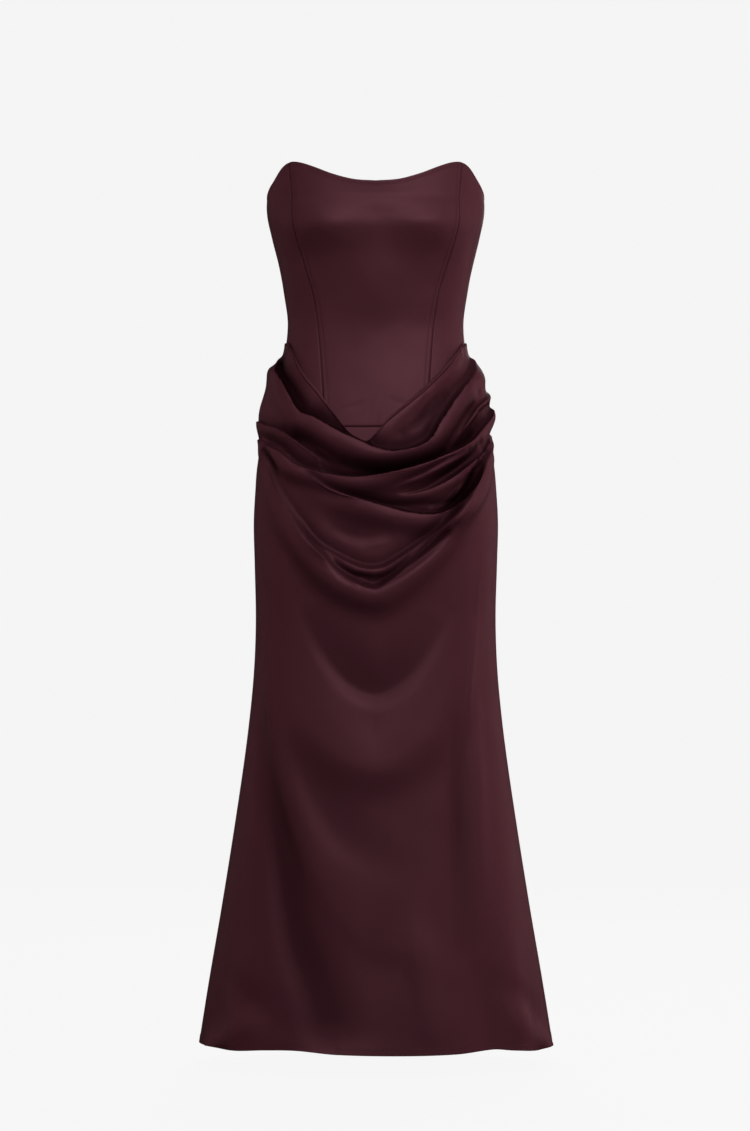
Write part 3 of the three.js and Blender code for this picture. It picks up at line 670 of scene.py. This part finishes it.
def cloth(name, points, thickness, dark=0.0, node=None):
    """A sheet of cloth from its outer face, a grid of points in millimetres. The inner face lies
    one thickness further in, and a half-round rim joins the two. The UV map holds the distance
    along the cloth, and the attribute the shade painted on each point of the outer face, in folds
    and seams."""
    rows, columns = points.shape[:2]
    inner = points - grid_normals(points) * thickness
    count = rows * columns
    index = np.arange(count).reshape(rows, columns)
    a, b, c, d = index[:-1, :-1], index[:-1, 1:], index[1:, 1:], index[1:, :-1]
    outside = np.stack([a, b, c, d], axis=-1).reshape(-1, 4)
    inside = np.stack([a, d, c, b], axis=-1).reshape(-1, 4) + count
    rim = np.concatenate([index[0, :-1], index[:-1, -1], index[-1, :0:-1], index[:0:-1, 0]])
    outer_rim, inner_rim = points.reshape(-1, 3)[rim], inner.reshape(-1, 3)[rim]
    ahead = np.roll(outer_rim, -1, axis=0) - np.roll(outer_rim, 1, axis=0)
    bulge = unit(np.cross(ahead, outer_rim - inner_rim)) * thickness * RIM_BULGE
    middle = (outer_rim + inner_rim) / 2 + bulge
    rim_mid = 2 * count + np.arange(len(rim))
    rim_next, mid_next = np.roll(rim, -1), np.roll(rim_mid, -1)
    upper = np.stack([rim_next, rim, rim_mid, mid_next], axis=-1)
    lower = np.stack([mid_next, rim_mid, rim + count, rim_next + count], axis=-1)
    vertices = np.concatenate([points.reshape(-1, 3), inner.reshape(-1, 3), middle])
    left, _, low, _ = from_edges(points)
    centre = left[:, columns // 2][:, None]
    uv = np.stack([left - centre, low + points[:1, :, 2]], axis=-1).reshape(-1, 2)
    piece = mesh_piece(name, vertices, np.concatenate([outside, inside, upper, lower]),
                       look("wine satin", satin), np.concatenate([uv, uv, uv[rim]]))
    # The shade painted into folds and seams, on the outer face only.
    painted_shade = np.zeros(len(vertices), np.float32)
    painted_shade[:count] = np.broadcast_to(dark, (rows, columns)).ravel()
    piece.data.attributes.new("painted shade", "FLOAT", "POINT").data.foreach_set("value", painted_shade)
    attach(piece, "dress")
    if node:
        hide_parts(node)
    return piece


def seam_dip(*distances):
    """How far the cloth turns in beside seams: a drop that is deepest at each seam."""
    return -SEAM["deep"] * sum(bell(distance, SEAM["wide"]) for distance in distances)


def painted_seam_shade(*distances):
    """The shade painted into the seams at these distances, from 0 to 1, as little light gets in
    there.
    """
    shade = sum(bell(distance, SEAM["painted_shade_wide"]) for distance in distances)
    return np.clip(SEAM["dark"] * shade, 0, 1)


def turned_edge(distance, width, rise):
    """The step of an edge that is turned in once: the cloth is one layer higher up to width."""
    return rise * (1 - smooth(width - 0.7, width + 0.7, distance))


# Materials

def set_inputs(tree, node, inputs):
    """Gives each named input of a node its value, or a link from another node's output."""
    for name, value in inputs.items():
        if isinstance(value, bpy.types.NodeSocket):
            tree.links.new(value, node.inputs[name])
        else:
            node.inputs[name].default_value = value


def add_node(tree, kind, inputs, **settings):
    """Adds a node, gives it its settings and then its inputs, and returns its outputs."""
    node = tree.nodes.new("ShaderNode" + kind)
    for name, value in settings.items():
        setattr(node, name, value)
    set_inputs(tree, node, inputs)
    return node.outputs


def noise(tree, vector, scale, detail, roughness=0.5):
    """A noise texture's value."""
    inputs = {"Vector": vector, "Scale": scale, "Detail": detail, "Roughness": roughness}
    return add_node(tree, "TexNoise", inputs)["Fac"]


def blend(tree, factor, first, second):
    """A colour between two others."""
    inputs = {"Factor": factor, "A": first, "B": second}
    return add_node(tree, "Mix", inputs, data_type="RGBA")["Result"]


def spread(tree, value, low, high, start=0.0, end=1.0):
    """A value from start to end, spread from low to high."""
    inputs = {"Value": value, "From Min": start, "From Max": end, "To Min": low, "To Max": high}
    return add_node(tree, "MapRange", inputs)["Result"]


def bump(tree, height, strength, distance):
    """A normal that follows a height."""
    inputs = {"Height": height, "Strength": strength, "Distance": distance}
    return add_node(tree, "Bump", inputs)["Normal"]


def combine(tree, operation, *values):
    """The result of one sum."""
    return add_node(tree, "Math", dict(enumerate(values)), operation=operation)[0]


def look(name, inputs_of):
    """The material of this name. At its first use its shader gets the inputs that inputs_of makes
    from the node tree and the place on the object."""
    made = bpy.data.materials.get(name)
    if made is None:
        made = bpy.data.materials.new(name)
        made.use_nodes = True
        tree = made.node_tree
        place = add_node(tree, "TexCoord", {})["Object"]
        set_inputs(tree, tree.nodes["Principled BSDF"], inputs_of(tree, place))
    return made


def satin_weave():
    """The effect that every satin piece shares: fine threads run down the cloth, and the dye and
    the sheen vary a little. It puts out a colour mask, a roughness mask and a height."""
    group = bpy.data.node_groups.new("Satin weave", "ShaderNodeTree")
    for label, way, value in (("Threads per metre", "INPUT", 2600.0), ("Unevenness", "INPUT", 0.5),
                              ("Colour", "OUTPUT", 0.0), ("Gloss", "OUTPUT", 0.0),
                              ("Height", "OUTPUT", 0.0)):
        group.interface.new_socket(label, in_out=way,
                                   socket_type="NodeSocketFloat").default_value = value
    entry = group.nodes.new("NodeGroupInput").outputs
    uv = add_node(group, "UVMap", {}, uv_map="cloth")["UV"]
    down = add_node(group, "VectorMath", {0: uv, 1: THREAD_STRETCH}, operation="MULTIPLY")["Vector"]
    threads = noise(group, down, entry["Threads per metre"], 2.0, 0.55)
    slubs = noise(group, down, 160.0, 3.0)
    shade = noise(group, add_node(group, "TexCoord", {})["Object"], 9.0, 3.0)
    mixed = {"Factor": entry["Unevenness"], "A": threads, "B": shade}
    outputs = {
        "Colour": add_node(group, "Mix", mixed, data_type="FLOAT")["Result"],
        "Gloss": combine(group, "MULTIPLY", combine(group, "ADD", slubs, shade), 0.5),
        "Height": combine(group, "MULTIPLY_ADD", slubs, 0.6, threads),
    }
    set_inputs(group, group.nodes.new("NodeGroupOutput"), outputs)
    return group


def satin(tree, place):
    """The gown's satin: a shader with a sheen, the weave group's masks on its colour, roughness and
    bump, and shade painted into folds and seams, which darkens the dye and takes away its
    specular reflection."""
    dyes = bpy.context.scene.gown_cloth
    weave = add_node(tree, "Group", {}, node_tree=satin_weave())
    # Painted shade: the attribute darkens the dye towards what is left in full shade, and fades the
    # specular reflection out.
    painted_shade = add_node(tree, "Attribute", {}, attribute_name="painted shade")["Fac"]
    lit = blend(tree, weave["Colour"], (*dyes.dark, 1), (*dyes.light, 1))
    painted_shade_colour = [colour * share for colour, share in zip(dyes.dark, DYE_LEFT_IN_PAINTED_SHADE)]
    tangent = add_node(tree, "Tangent", {}, direction_type="UV_MAP", uv_map="cloth")["Tangent"]
    return {
        "Base Color": blend(tree, painted_shade, lit, (*painted_shade_colour, 1)),
        "Specular IOR Level": spread(tree, painted_shade, 0.5, 0.0),
        "Specular Tint": (1.0, 0.4, 0.5, 1),
        "Anisotropic": 0.6,
        "Tangent": tangent,
        "Roughness": spread(tree, weave["Gloss"], dyes.gloss - 0.03, dyes.gloss + 0.05, 0.3, 0.7),
        "Normal": bump(tree, weave["Height"], 0.12, 0.0003),
    }


def twisted_thread(tree, place):
    """Sewing thread: two shades of the dye in slanted bands that also give it its twist."""
    dyes = bpy.context.scene.gown_cloth
    inputs = {"Vector": place, "Scale": 900.0, "Distortion": 1.5}
    twist = add_node(tree, "TexWave", inputs, bands_direction="DIAGONAL")["Fac"]
    dark, light = [c * 1.1 for c in dyes.dark], [c * 1.9 for c in dyes.light]
    return {
        "Base Color": blend(tree, twist, (*dark, 1), (*light, 1)),
        "Roughness": 0.55,
        "Sheen Weight": 0.2,
        "Normal": bump(tree, twist, 0.4, 0.0001),
    }


def lacquered_metal(tree, place):
    """The zip's metal, lacquered to match the cloth: small dents in the lacquer, and a duller
    mottle where fingers touch it."""
    mottle = noise(tree, place, 450.0, 4.0)
    return {
        "Base Color": blend(tree, mottle, (0.05, 0.012, 0.018, 1), (0.085, 0.024, 0.034, 1)),
        "Metallic": 0.7,
        "Roughness": spread(tree, mottle, 0.25, 0.5),
        "Normal": bump(tree, mottle, 0.15, 0.0001),
    }


def pale_paper(tree, place):
    """The studio's paper: pale, matt and faintly mottled, and lit evenly."""
    grain = noise(tree, place, 40.0, 2.0)
    return {
        "Base Color": blend(tree, grain, (0.02, 0.02, 0.02, 1), (0.0202, 0.0202, 0.0202, 1)),
        "Roughness": 0.9,
        "Specular IOR Level": 0.1,
        "Emission Strength": bpy.context.scene.gown_stage.glow,
        "Emission Color": (1, 1, 1, 1),
    }


# Sewing

def stitches(thread, lines):
    """Rows of stitches. Each line is points and normals along a path. A stitch is a five-sided
    bead, thin at its ends, laid along the path and half sunk into the cloth."""
    length, gap, radius = STITCHES[thread]
    sides = np.tile(np.arange(5) * 2 * math.pi / 5, 4)
    thick = np.repeat((0.25, 1.0, 1.0, 0.25), 5) * radius
    bead = np.stack([np.repeat((-0.5, -0.3, 0.3, 0.5), 5) * length,
                     np.cos(sides) * thick, np.sin(sides) * thick], axis=1)
    here = np.arange(5)
    ahead = (here + 1) % 5
    skin = [np.stack([r + here, r + ahead, r + 5 + ahead, r + 5 + here], axis=1)
            for r in (0, 5, 10)]
    caps = [[4, 3, 2, 1], [4, 1, 0, 0], [15, 16, 17, 18], [15, 18, 19, 19]]
    made = []
    for points, normals in lines:
        far = way_along(points)
        count = max(int(far[-1] / (length + gap)), 1)
        at = (np.arange(count) + 0.5) * far[-1] / count
        place, out = read_along(points, far, at), unit(read_along(normals, far, at))
        way = unit(read_along(points, far, at + 0.5) - place)
        axes = np.stack([way, np.cross(out, way), out], axis=1)
        made.append((place[:, None] + bead @ axes).reshape(-1, 3))
    vertices = np.concatenate(made)
    first = np.arange(0, len(vertices), len(bead))[:, None, None]
    faces = (first + np.concatenate([*skin, caps])).reshape(-1, 4)
    piece = mesh_piece(thread + "_stitches", vertices, faces, look("wine thread", twisted_thread))
    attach(piece, "dress")


# The pieces

def bust_relief(turn, x, z):
    """How the boned front is drawn flat over the bust: it leans back above the fullest line,
    stands up again along the top edge, and bridges the hollow between the busts."""
    in_front = smooth(0.2, 0.6, np.cos(np.radians(turn)))
    lean = LEAN["up"] * np.maximum(z - LEAN["up_from"], 0)
    lean -= LEAN["back"] * smooth(LEAN["from"], LEAN["to"], z)
    bridge = BRIDGE["rise"] * bell(z - BRIDGE["z"], BRIDGE["tall"]) * bell(x, BRIDGE["wide"])
    return (lean + bridge) * in_front


def wrinkles(turn, z):
    """The bodice's small wrinkles, where it bends at the waist: short bumps on slanting lines."""
    lift = 0 * z
    for at, height, slant, rise, wide, length in zip(*WRINKLES.values()):
        lift += rise * bell(z - height - slant * (turn - at), wide) * bell(turn - at, length)
    return lift


def bodice_surface(turn, z, lift):
    """The bodice's outer face: the figure, a little proud of the solid, and softly uneven."""
    base = figure(turn, z)
    uneven = ripple(base, *UNEVEN["bodice"])
    uneven += ripple(base * (1, 1, 0.6), *UNEVEN["bodice_fine"])
    uneven += bust_relief(turn, base[..., 0], z) + wrinkles(turn, z)
    return base + outward(turn, z) * (lift + uneven)[..., None]


def bodice_panel(name, from_turn, to_turn, boned=False):
    """One bodice panel: it dips along its seams, and its top edge is turned in. On a boned one a
    channel is stitched beside each side seam."""
    cut = bpy.context.scene.gown_cut
    turn, z, (left, right, low, top) = panel_grid(
        name, from_turn, to_turn, lambda t: BODICE_BOTTOM + SEAM["gap"] / 2 + 0 * t, neckline)
    lift = PROUD["bodice"] + seam_dip(left, right, low)
    lift += turned_edge(top, cut.neck_turn / MM, TURNED["neck"]) - TURNED["neck"] * bell(top, 0.7)
    # Shade painted along the seams.
    dark = painted_seam_shade(left, right, low)
    width = cut.boning / MM
    for distance in (left, right) if boned else ():
        beyond = distance - width - CHANNEL["stitch"]
        raised = smooth(0.6, 2.2, distance) * (1 - smooth(width - 1.2, width, distance))
        lift += CHANNEL["rise"] * raised - CHANNEL["dip"] * bell(beyond, 1.0)
        # Shade painted along the channel's stitches.
        dark += CHANNEL["dark"] * painted_seam_shade(beyond)
    points = bodice_surface(turn, z, lift)
    cloth(name + "_cloth", points, cut.bodice_cloth / MM, dark, name)


def side_seam(sign, away=-1):
    """The turn of a side seam's edge at each height: away is 1 for the edge of a back."""
    return lambda z: sign * (90 + away * gap_turn(z))


def make_bodice():
    """The five bodice panels."""
    def seam(sign, away):
        return lambda z: sign * (princess(z) + away * gap_turn(z))

    bodice_panel("bodice_front_centre", seam(-1, -1), seam(1, -1), boned=True)
    bodice_panel("bodice_front_left", seam(1, 1), side_seam(1))
    bodice_panel("bodice_front_right", side_seam(-1), seam(-1, 1))
    bodice_panel("bodice_back_left", side_seam(1, 1), lambda z: 180 - back_edge(z))
    bodice_panel("bodice_back_right", lambda z: 180 + back_edge(z), lambda z: 270 - gap_turn(z))


def below_bodice(turn):
    """The height of the seam under the bodice."""
    return BODICE_BOTTOM - SEAM["gap"] / 2 + 0 * turn


def make_yoke():
    """The front yoke under the cowl, which shows below the bodice's point."""
    turn, z, (_, _, _, top) = panel_grid("front_yoke", side_seam(-1), side_seam(1),
                                         lambda t: YOKE_BOTTOM + 0 * t, below_bodice)
    points = bodice_surface(turn, z, seam_dip(top))
    thickness = bpy.context.scene.gown_cut.skirt_cloth / MM
    # Shade painted along the seam under the bodice.
    cloth("front_yoke_cloth", points, thickness, painted_seam_shade(top), "front_yoke")


def skirt_front_surface(turn, z, lift):
    """The skirt front's face, its normals and the shade painted on it: the figure with its flutes,
    moved out by the drape and by lift, and drawn along the cloth where a fold is tucked."""
    away, drawn, dark = drape(turn, z)
    turn = turn + np.degrees(drawn[..., 0] / ACROSS)
    z = z + drawn[..., 1]
    normal = outward(turn, z)
    return figure(turn, z) + normal * (away + flutes(turn, z) + lift)[..., None], normal, dark


def make_skirt_front():
    """The skirt front, in one piece from the cowl's turned edge to the turned hem."""
    cut = bpy.context.scene.gown_cut
    turn, z = skirt_grid()
    left, right, low, top = from_edges(figure(turn, z))
    lift = PROUD["skirt"] + turned_edge(low, cut.hem_turn / MM, TURNED["hem"])
    lift += turned_edge(top, COWL_TURN, TURNED["cowl"])
    points, _, dark = skirt_front_surface(turn, z, lift + seam_dip(left, right))
    # The shade painted into the folds, and along the side seams.
    dark = np.maximum(dark, painted_seam_shade(left, right))
    cloth("skirt_front_cloth", points, cut.skirt_cloth / MM, dark, "skirt_front")


def back_folds(turn, z):
    """How far the back's soft folds lift it: bumps of the turn about slanting lines, which fade at
    both ends."""
    lift = 0 * z
    for start, end, high, low, rise, wide in zip(*BACK_FOLDS.values()):
        share = (high - z) / (high - low)
        line = start + (end - start) * share
        lift += rise * bell(turn - line, wide) * smooth(0, 0.3, share) * smooth(1, 0.6, share)
    return lift


def skirt_back_panel(name, from_turn, to_turn):
    """One skirt back: the figure with its flutes and long soft folds, dipped along its seams, with
    the hem turned in."""
    cut = bpy.context.scene.gown_cut
    turn, z, (left, right, low, high) = panel_grid(name, from_turn, to_turn, hemline, below_bodice)
    base = figure(turn, z)
    lift = PROUD["skirt"] + flutes(turn, z) + turned_edge(low, cut.hem_turn / MM, TURNED["hem"])
    calm = smooth(0, 40, left) * smooth(0, 40, right) * smooth(0, 120, high)
    lift += calm * (ripple(base * (1, 1, 0.16), *UNEVEN["back"]) + back_folds(turn, z))
    lift += seam_dip(left, right, high)
    points = base + outward(turn, z) * lift[..., None]
    # Shade painted along the seams.
    dark = painted_seam_shade(left, right, high)
    cloth(name + "_cloth", points, cut.skirt_cloth / MM, dark, name)


def make_skirt_back():
    """The two skirt backs, which meet in the centre back seam."""
    def centre(sign):
        return lambda z: 180 + sign * np.degrees(SEAM["gap"] / 2 / along(SECTIONS, "half", z))

    skirt_back_panel("skirt_back_left", side_seam(1, 1), centre(-1))
    skirt_back_panel("skirt_back_right", centre(1), lambda z: 270 - gap_turn(z))


def boning_line(sign):
    """The stitches that hold the boning channel beside a princess seam."""
    z = np.linspace(BODICE_BOTTOM + 4, 42, 160)
    beside = bpy.context.scene.gown_cut.boning / MM + CHANNEL["stitch"]
    turn = sign * (princess(z) - np.degrees(beside / along(SECTIONS, "half", z)))
    keep = z < neckline(turn) - 3
    return bodice_surface(turn, z, 0.05)[keep], outward(turn, z)[keep]


def hem_line(from_turn, to_turn, count):
    """The stitches that hold the turned hem, on the front or on a back."""
    turn = np.linspace(from_turn, to_turn, count)
    z = hemline(turn) + bpy.context.scene.gown_cut.hem_turn / MM - 1.2
    if to_turn < 90:
        return skirt_front_surface(turn, z, HEM_STITCH)[:2]
    normal = outward(turn, z)
    return figure(turn, z) + normal * (flutes(turn, z) + HEM_STITCH)[:, None], normal


def make_stitching():
    """All the topstitching: beside the princess seams, and round the hem."""
    stitches("boning", [boning_line(1), boning_line(-1)])
    stitches("hem", [hem_line(-89, 89, 400), hem_line(91, 179, 200), hem_line(181, 269, 200)])


def round_edges(piece, segments):
    """Rounds the sharp edges of a zip part."""
    bevel = piece.modifiers.new("rounded", "BEVEL")
    bevel.width = ZIP["round"] * MM
    bevel.segments = segments
    bevel.limit_method = "ANGLE"
    bevel.angle_limit = math.radians(35)


def zip_part(node, body):
    """A closed copy of a zip part with its edges rounded."""
    work = bmesh.new()
    work.from_mesh(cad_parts[node].data)
    bmesh.ops.remove_doubles(work, verts=work.verts, dist=1e-6)
    bmesh.ops.dissolve_limit(work, angle_limit=math.radians(3), verts=work.verts, edges=work.edges)
    data = bpy.data.meshes.new(node + "_finished")
    work.to_mesh(data)
    work.free()
    data.materials.clear()
    data.materials.append(look("wine lacquered metal", lacquered_metal))
    piece = add_object(node + "_finished", data)
    round_edges(piece, 2)
    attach(piece, body)
    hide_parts(node)


def zip_coil():
    """The zip's closed coil: small beads that lie left and right by turns inside the back."""
    top = ZIP["z"] - ZIP["coil_below"]
    count = int((top - ZIP["coil_bottom"]) / ZIP["pitch"])
    z = top - np.arange(count) * ZIP["pitch"]
    side = np.where(np.arange(count) % 2 == 0, ZIP["tooth_off"], -ZIP["tooth_off"])
    centre = np.stack([side, along(SECTIONS, "back", z) - ZIP["coil_in"], z], axis=1)
    corner = np.array([(x, y, h) for x in (-1, 1) for y in (-1, 1) for h in (-1, 1)], float)
    sides = np.array([(0, 1, 3, 2), (4, 6, 7, 5), (0, 4, 5, 1), (2, 3, 7, 6), (0, 2, 6, 4),
                      (1, 5, 7, 3)])
    points = (centre[:, None] + corner * ZIP["tooth"]).reshape(-1, 3)
    faces = (8 * np.arange(count)[:, None, None] + sides).reshape(-1, 4)
    piece = mesh_piece("zip_teeth", points, faces, look("wine lacquered metal", lacquered_metal))
    round_edges(piece, 1)
    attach(piece, "dress")


def zip_tape(name, sign):
    """One side of the zip's tape, a narrow strip against the inside of the back."""
    x = np.linspace(0.4, 12, 9)[::sign] * sign
    x, z = np.meshgrid(x, np.linspace(ZIP["coil_bottom"] - 12, 0, 90))
    turn = 180 - np.degrees(np.arcsin(x / along(SECTIONS, "half", z)))
    points = figure(turn, z) - outward(turn, z) * ZIP["tape_in"]
    cloth(name, points[:, ::-1], ZIP["tape_thick"])


def make_zip():
    """The concealed zip at the centre back: slider, pull, coil and tapes."""
    zip_part("zip_slider", "dress")
    zip_part("zip_pull", "zip_pull")
    zip_coil()
    zip_tape("zip_tape_left", 1)
    zip_tape("zip_tape_right", -1)


# The stage

def soft_light(power, name, x, y, z, wide, tall, share):
    """A soft box that faces the gown's middle."""
    data = bpy.data.lights.new(name, "AREA")
    data.shape = "RECTANGLE"
    data.size, data.size_y = wide, tall
    data.energy = power * share
    data.color = SIDE_TINT if abs(x) > SIDE_FROM else (1, 1, 1)
    light = add_object(name, data)
    light.location = (x, y, z)
    aim = Vector((0, 0, LIGHT_AIM)) - light.location
    light.rotation_euler = aim.to_track_quat("-Z", "Y").to_euler()


def round_paper(floor_z):
    """The paper's rings of points, in metres, and its quads: a flat floor that bends up all round
    into a wall. A small disc of more quads closes the middle."""
    floor, bend, sides, rings = PAPER["floor"], PAPER["bend"], PAPER["sides"], PAPER["rings"]
    arc = np.linspace(0, math.pi / 2, PAPER["arcs"])
    out = np.concatenate([np.linspace(0.1, floor, rings)[:-1], floor + bend * np.sin(arc),
                          [floor + bend]])
    up = np.concatenate([np.zeros(rings - 1), bend * (1 - np.cos(arc)), [PAPER["high"]]])
    turn = np.arange(sides) * 2 * math.pi / sides
    points = np.stack([out[:, None] * np.sin(turn), out[:, None] * np.cos(turn),
                       floor_z + up[:, None] + 0 * turn], axis=-1)
    index = np.arange(len(out) * sides).reshape(-1, sides)
    ahead = np.roll(index, -1, axis=1)
    faces = np.stack([index[:-1], ahead[:-1], ahead[1:], index[1:]], axis=-1).reshape(-1, 4)
    k = np.arange(0, sides // 2 - 1)
    middle = np.stack([k, sides - 1 - k, sides - 2 - k, k + 1], axis=-1)
    return points.reshape(-1, 3), np.concatenate([faces, middle])


def make_stage():
    """A round studio of pale paper, the soft lights and the camera."""
    scene = bpy.context.scene
    stage = scene.gown_stage
    points, faces = round_paper(HEM * MM - stage.floor_gap)
    paper = mesh_piece("paper_sweep", points / MM, faces, look("pale paper", pale_paper))
    paper.visible_glossy = False
    paper.visible_diffuse = False
    paper.visible_shadow = False
    scene.world = bpy.data.worlds.new("studio")
    scene.world.use_nodes = True
    tree = scene.world.node_tree
    set_inputs(tree, tree.nodes["Background"], {"Color": (1, 1, 1, 1), "Strength": stage.ambient})
    for row in LIGHTS:
        soft_light(stage.key, *row)
    lens = bpy.data.cameras.new("camera")
    lens.lens = lens.sensor_width * stage.distance / stage.view_height
    lens.clip_end = 100
    scene.camera = add_object("camera", lens)
    scene.camera.location = (stage.eye_side, -stage.distance, stage.eye_height)
    scene.camera.rotation_euler = (math.pi / 2, 0, 0)
    scene.view_settings.view_transform = "Standard"


# Settings and operators

def setting(name, description, default, **more):
    """A number that the user can set."""
    return bpy.props.FloatProperty(name=name, description=description, default=default, **more)


def length(name, description, default):
    """A length that the user can set, in metres."""
    return setting(name, description, default, unit="LENGTH")


def dye(name, description, default):
    """A colour that the user can set."""
    return bpy.props.FloatVectorProperty(name=name, description=description, default=default,
                                         subtype="COLOR", min=0, max=1)


class GownCloth(bpy.types.PropertyGroup):
    """The satin's colours and gloss."""

    dark: dye("Dark", "The dye where the threads lie deepest", (0.085, 0.0245, 0.034))
    light: dye("Light", "The dye where the threads catch the light", (0.112, 0.0315, 0.0435))
    gloss: setting("Roughness", "How wide the satin spreads a highlight", 0.5,
                   min=0.1, max=1, subtype="FACTOR")


class GownCut(bpy.types.PropertyGroup):
    """Sizes of the cut and the sewing."""

    bodice_cloth: length("Bodice cloth", "Thickness of the bodice's backed satin", 1.4 * MM)
    skirt_cloth: length("Skirt cloth", "Thickness of the skirt's satin", 0.9 * MM)
    boning: length("Boning channel", "Width of the channel beside each princess seam", 7 * MM)
    neck_turn: length("Neck turn", "Width of the turned edge at the top", 4 * MM)
    hem_turn: length("Hem turn", "Width of the turned hem", 9 * MM)


class GownStage(bpy.types.PropertyGroup):
    """The studio and the camera."""

    distance: length("Distance", "From the camera to the gown's middle", 6.0)
    view_height: length("View height", "What the picture's height covers at the gown", 1.606)
    eye_height: length("Eye height", "The camera's height above the bust", -0.512)
    eye_side: length("Eye side", "How far the camera stands to the side", -0.001)
    floor_gap: length("Floor gap", "From the hem down to the floor", 0.03)
    key: setting("Key light", "Power of all the soft boxes together", 80.0, unit="POWER")
    ambient: setting("Ambient", "Strength of the light from all round", 0.02)
    glow: setting("Paper glow", "How brightly the paper is lit for itself", 0.91)


def runs(make):
    """An operator's execute, which runs one of the makers."""
    def execute(self, context):
        make()
        return {"FINISHED"}

    return execute


class GOWN_OT_stage(bpy.types.Operator):
    """Make the paper, the lights and the camera"""

    bl_idname = "gown.stage"
    bl_label = "Studio"
    execute = runs(make_stage)


class GOWN_OT_bodice(bpy.types.Operator):
    """Make the five bodice panels"""

    bl_idname = "gown.bodice"
    bl_label = "Bodice"
    execute = runs(make_bodice)


class GOWN_OT_yoke(bpy.types.Operator):
    """Make the front yoke"""

    bl_idname = "gown.yoke"
    bl_label = "Yoke"
    execute = runs(make_yoke)


class GOWN_OT_skirt_front(bpy.types.Operator):
    """Make the draped skirt front"""

    bl_idname = "gown.skirt_front"
    bl_label = "Skirt front"
    execute = runs(make_skirt_front)


class GOWN_OT_skirt_back(bpy.types.Operator):
    """Make the two skirt backs"""

    bl_idname = "gown.skirt_back"
    bl_label = "Skirt backs"
    execute = runs(make_skirt_back)


class GOWN_OT_stitching(bpy.types.Operator):
    """Make the topstitching"""

    bl_idname = "gown.stitching"
    bl_label = "Topstitching"
    execute = runs(make_stitching)


class GOWN_OT_zip(bpy.types.Operator):
    """Make the concealed zip"""

    bl_idname = "gown.zip"
    bl_label = "Zip"
    execute = runs(make_zip)


class GOWN_PT_panel(bpy.types.Panel):
    """The gown's settings and its makers' buttons"""

    bl_label = "Gown"
    bl_idname = "GOWN_PT_panel"
    bl_space_type = "VIEW_3D"
    bl_region_type = "UI"
    bl_category = "Gown"

    def draw(self, context):
        scene = context.scene
        for group in (scene.gown_cloth, scene.gown_cut, scene.gown_stage):
            box = self.layout.box()
            for name in group.bl_rna.properties.keys():
                if name not in ("rna_type", "name"):
                    box.prop(group, name)
        for operator in OPERATORS:
            self.layout.operator(operator.bl_idname)


OPERATORS = (GOWN_OT_stage, GOWN_OT_bodice, GOWN_OT_yoke, GOWN_OT_skirt_front,
             GOWN_OT_skirt_back, GOWN_OT_stitching, GOWN_OT_zip)
GROUPS = {"gown_cloth": GownCloth, "gown_cut": GownCut, "gown_stage": GownStage}
CLASSES = (*GROUPS.values(), *OPERATORS, GOWN_PT_panel)


def register():
    """Registers the classes and hangs the settings on the scene."""
    for made in CLASSES:
        bpy.utils.register_class(made)
    for name, group in GROUPS.items():
        setattr(bpy.types.Scene, name, bpy.props.PointerProperty(type=group))


def unregister():
    """Takes the settings and the classes away again."""
    for name in GROUPS:
        delattr(bpy.types.Scene, name)
    for made in reversed(CLASSES):
        bpy.utils.unregister_class(made)


def main():
    """Makes every piece in order."""
    register()
    bpy.ops.gown.stage()
    bpy.ops.gown.bodice()
    bpy.ops.gown.yoke()
    bpy.ops.gown.skirt_front()
    bpy.ops.gown.skirt_back()
    bpy.ops.gown.stitching()
    bpy.ops.gown.zip()


if __name__ == "__main__":
    main()
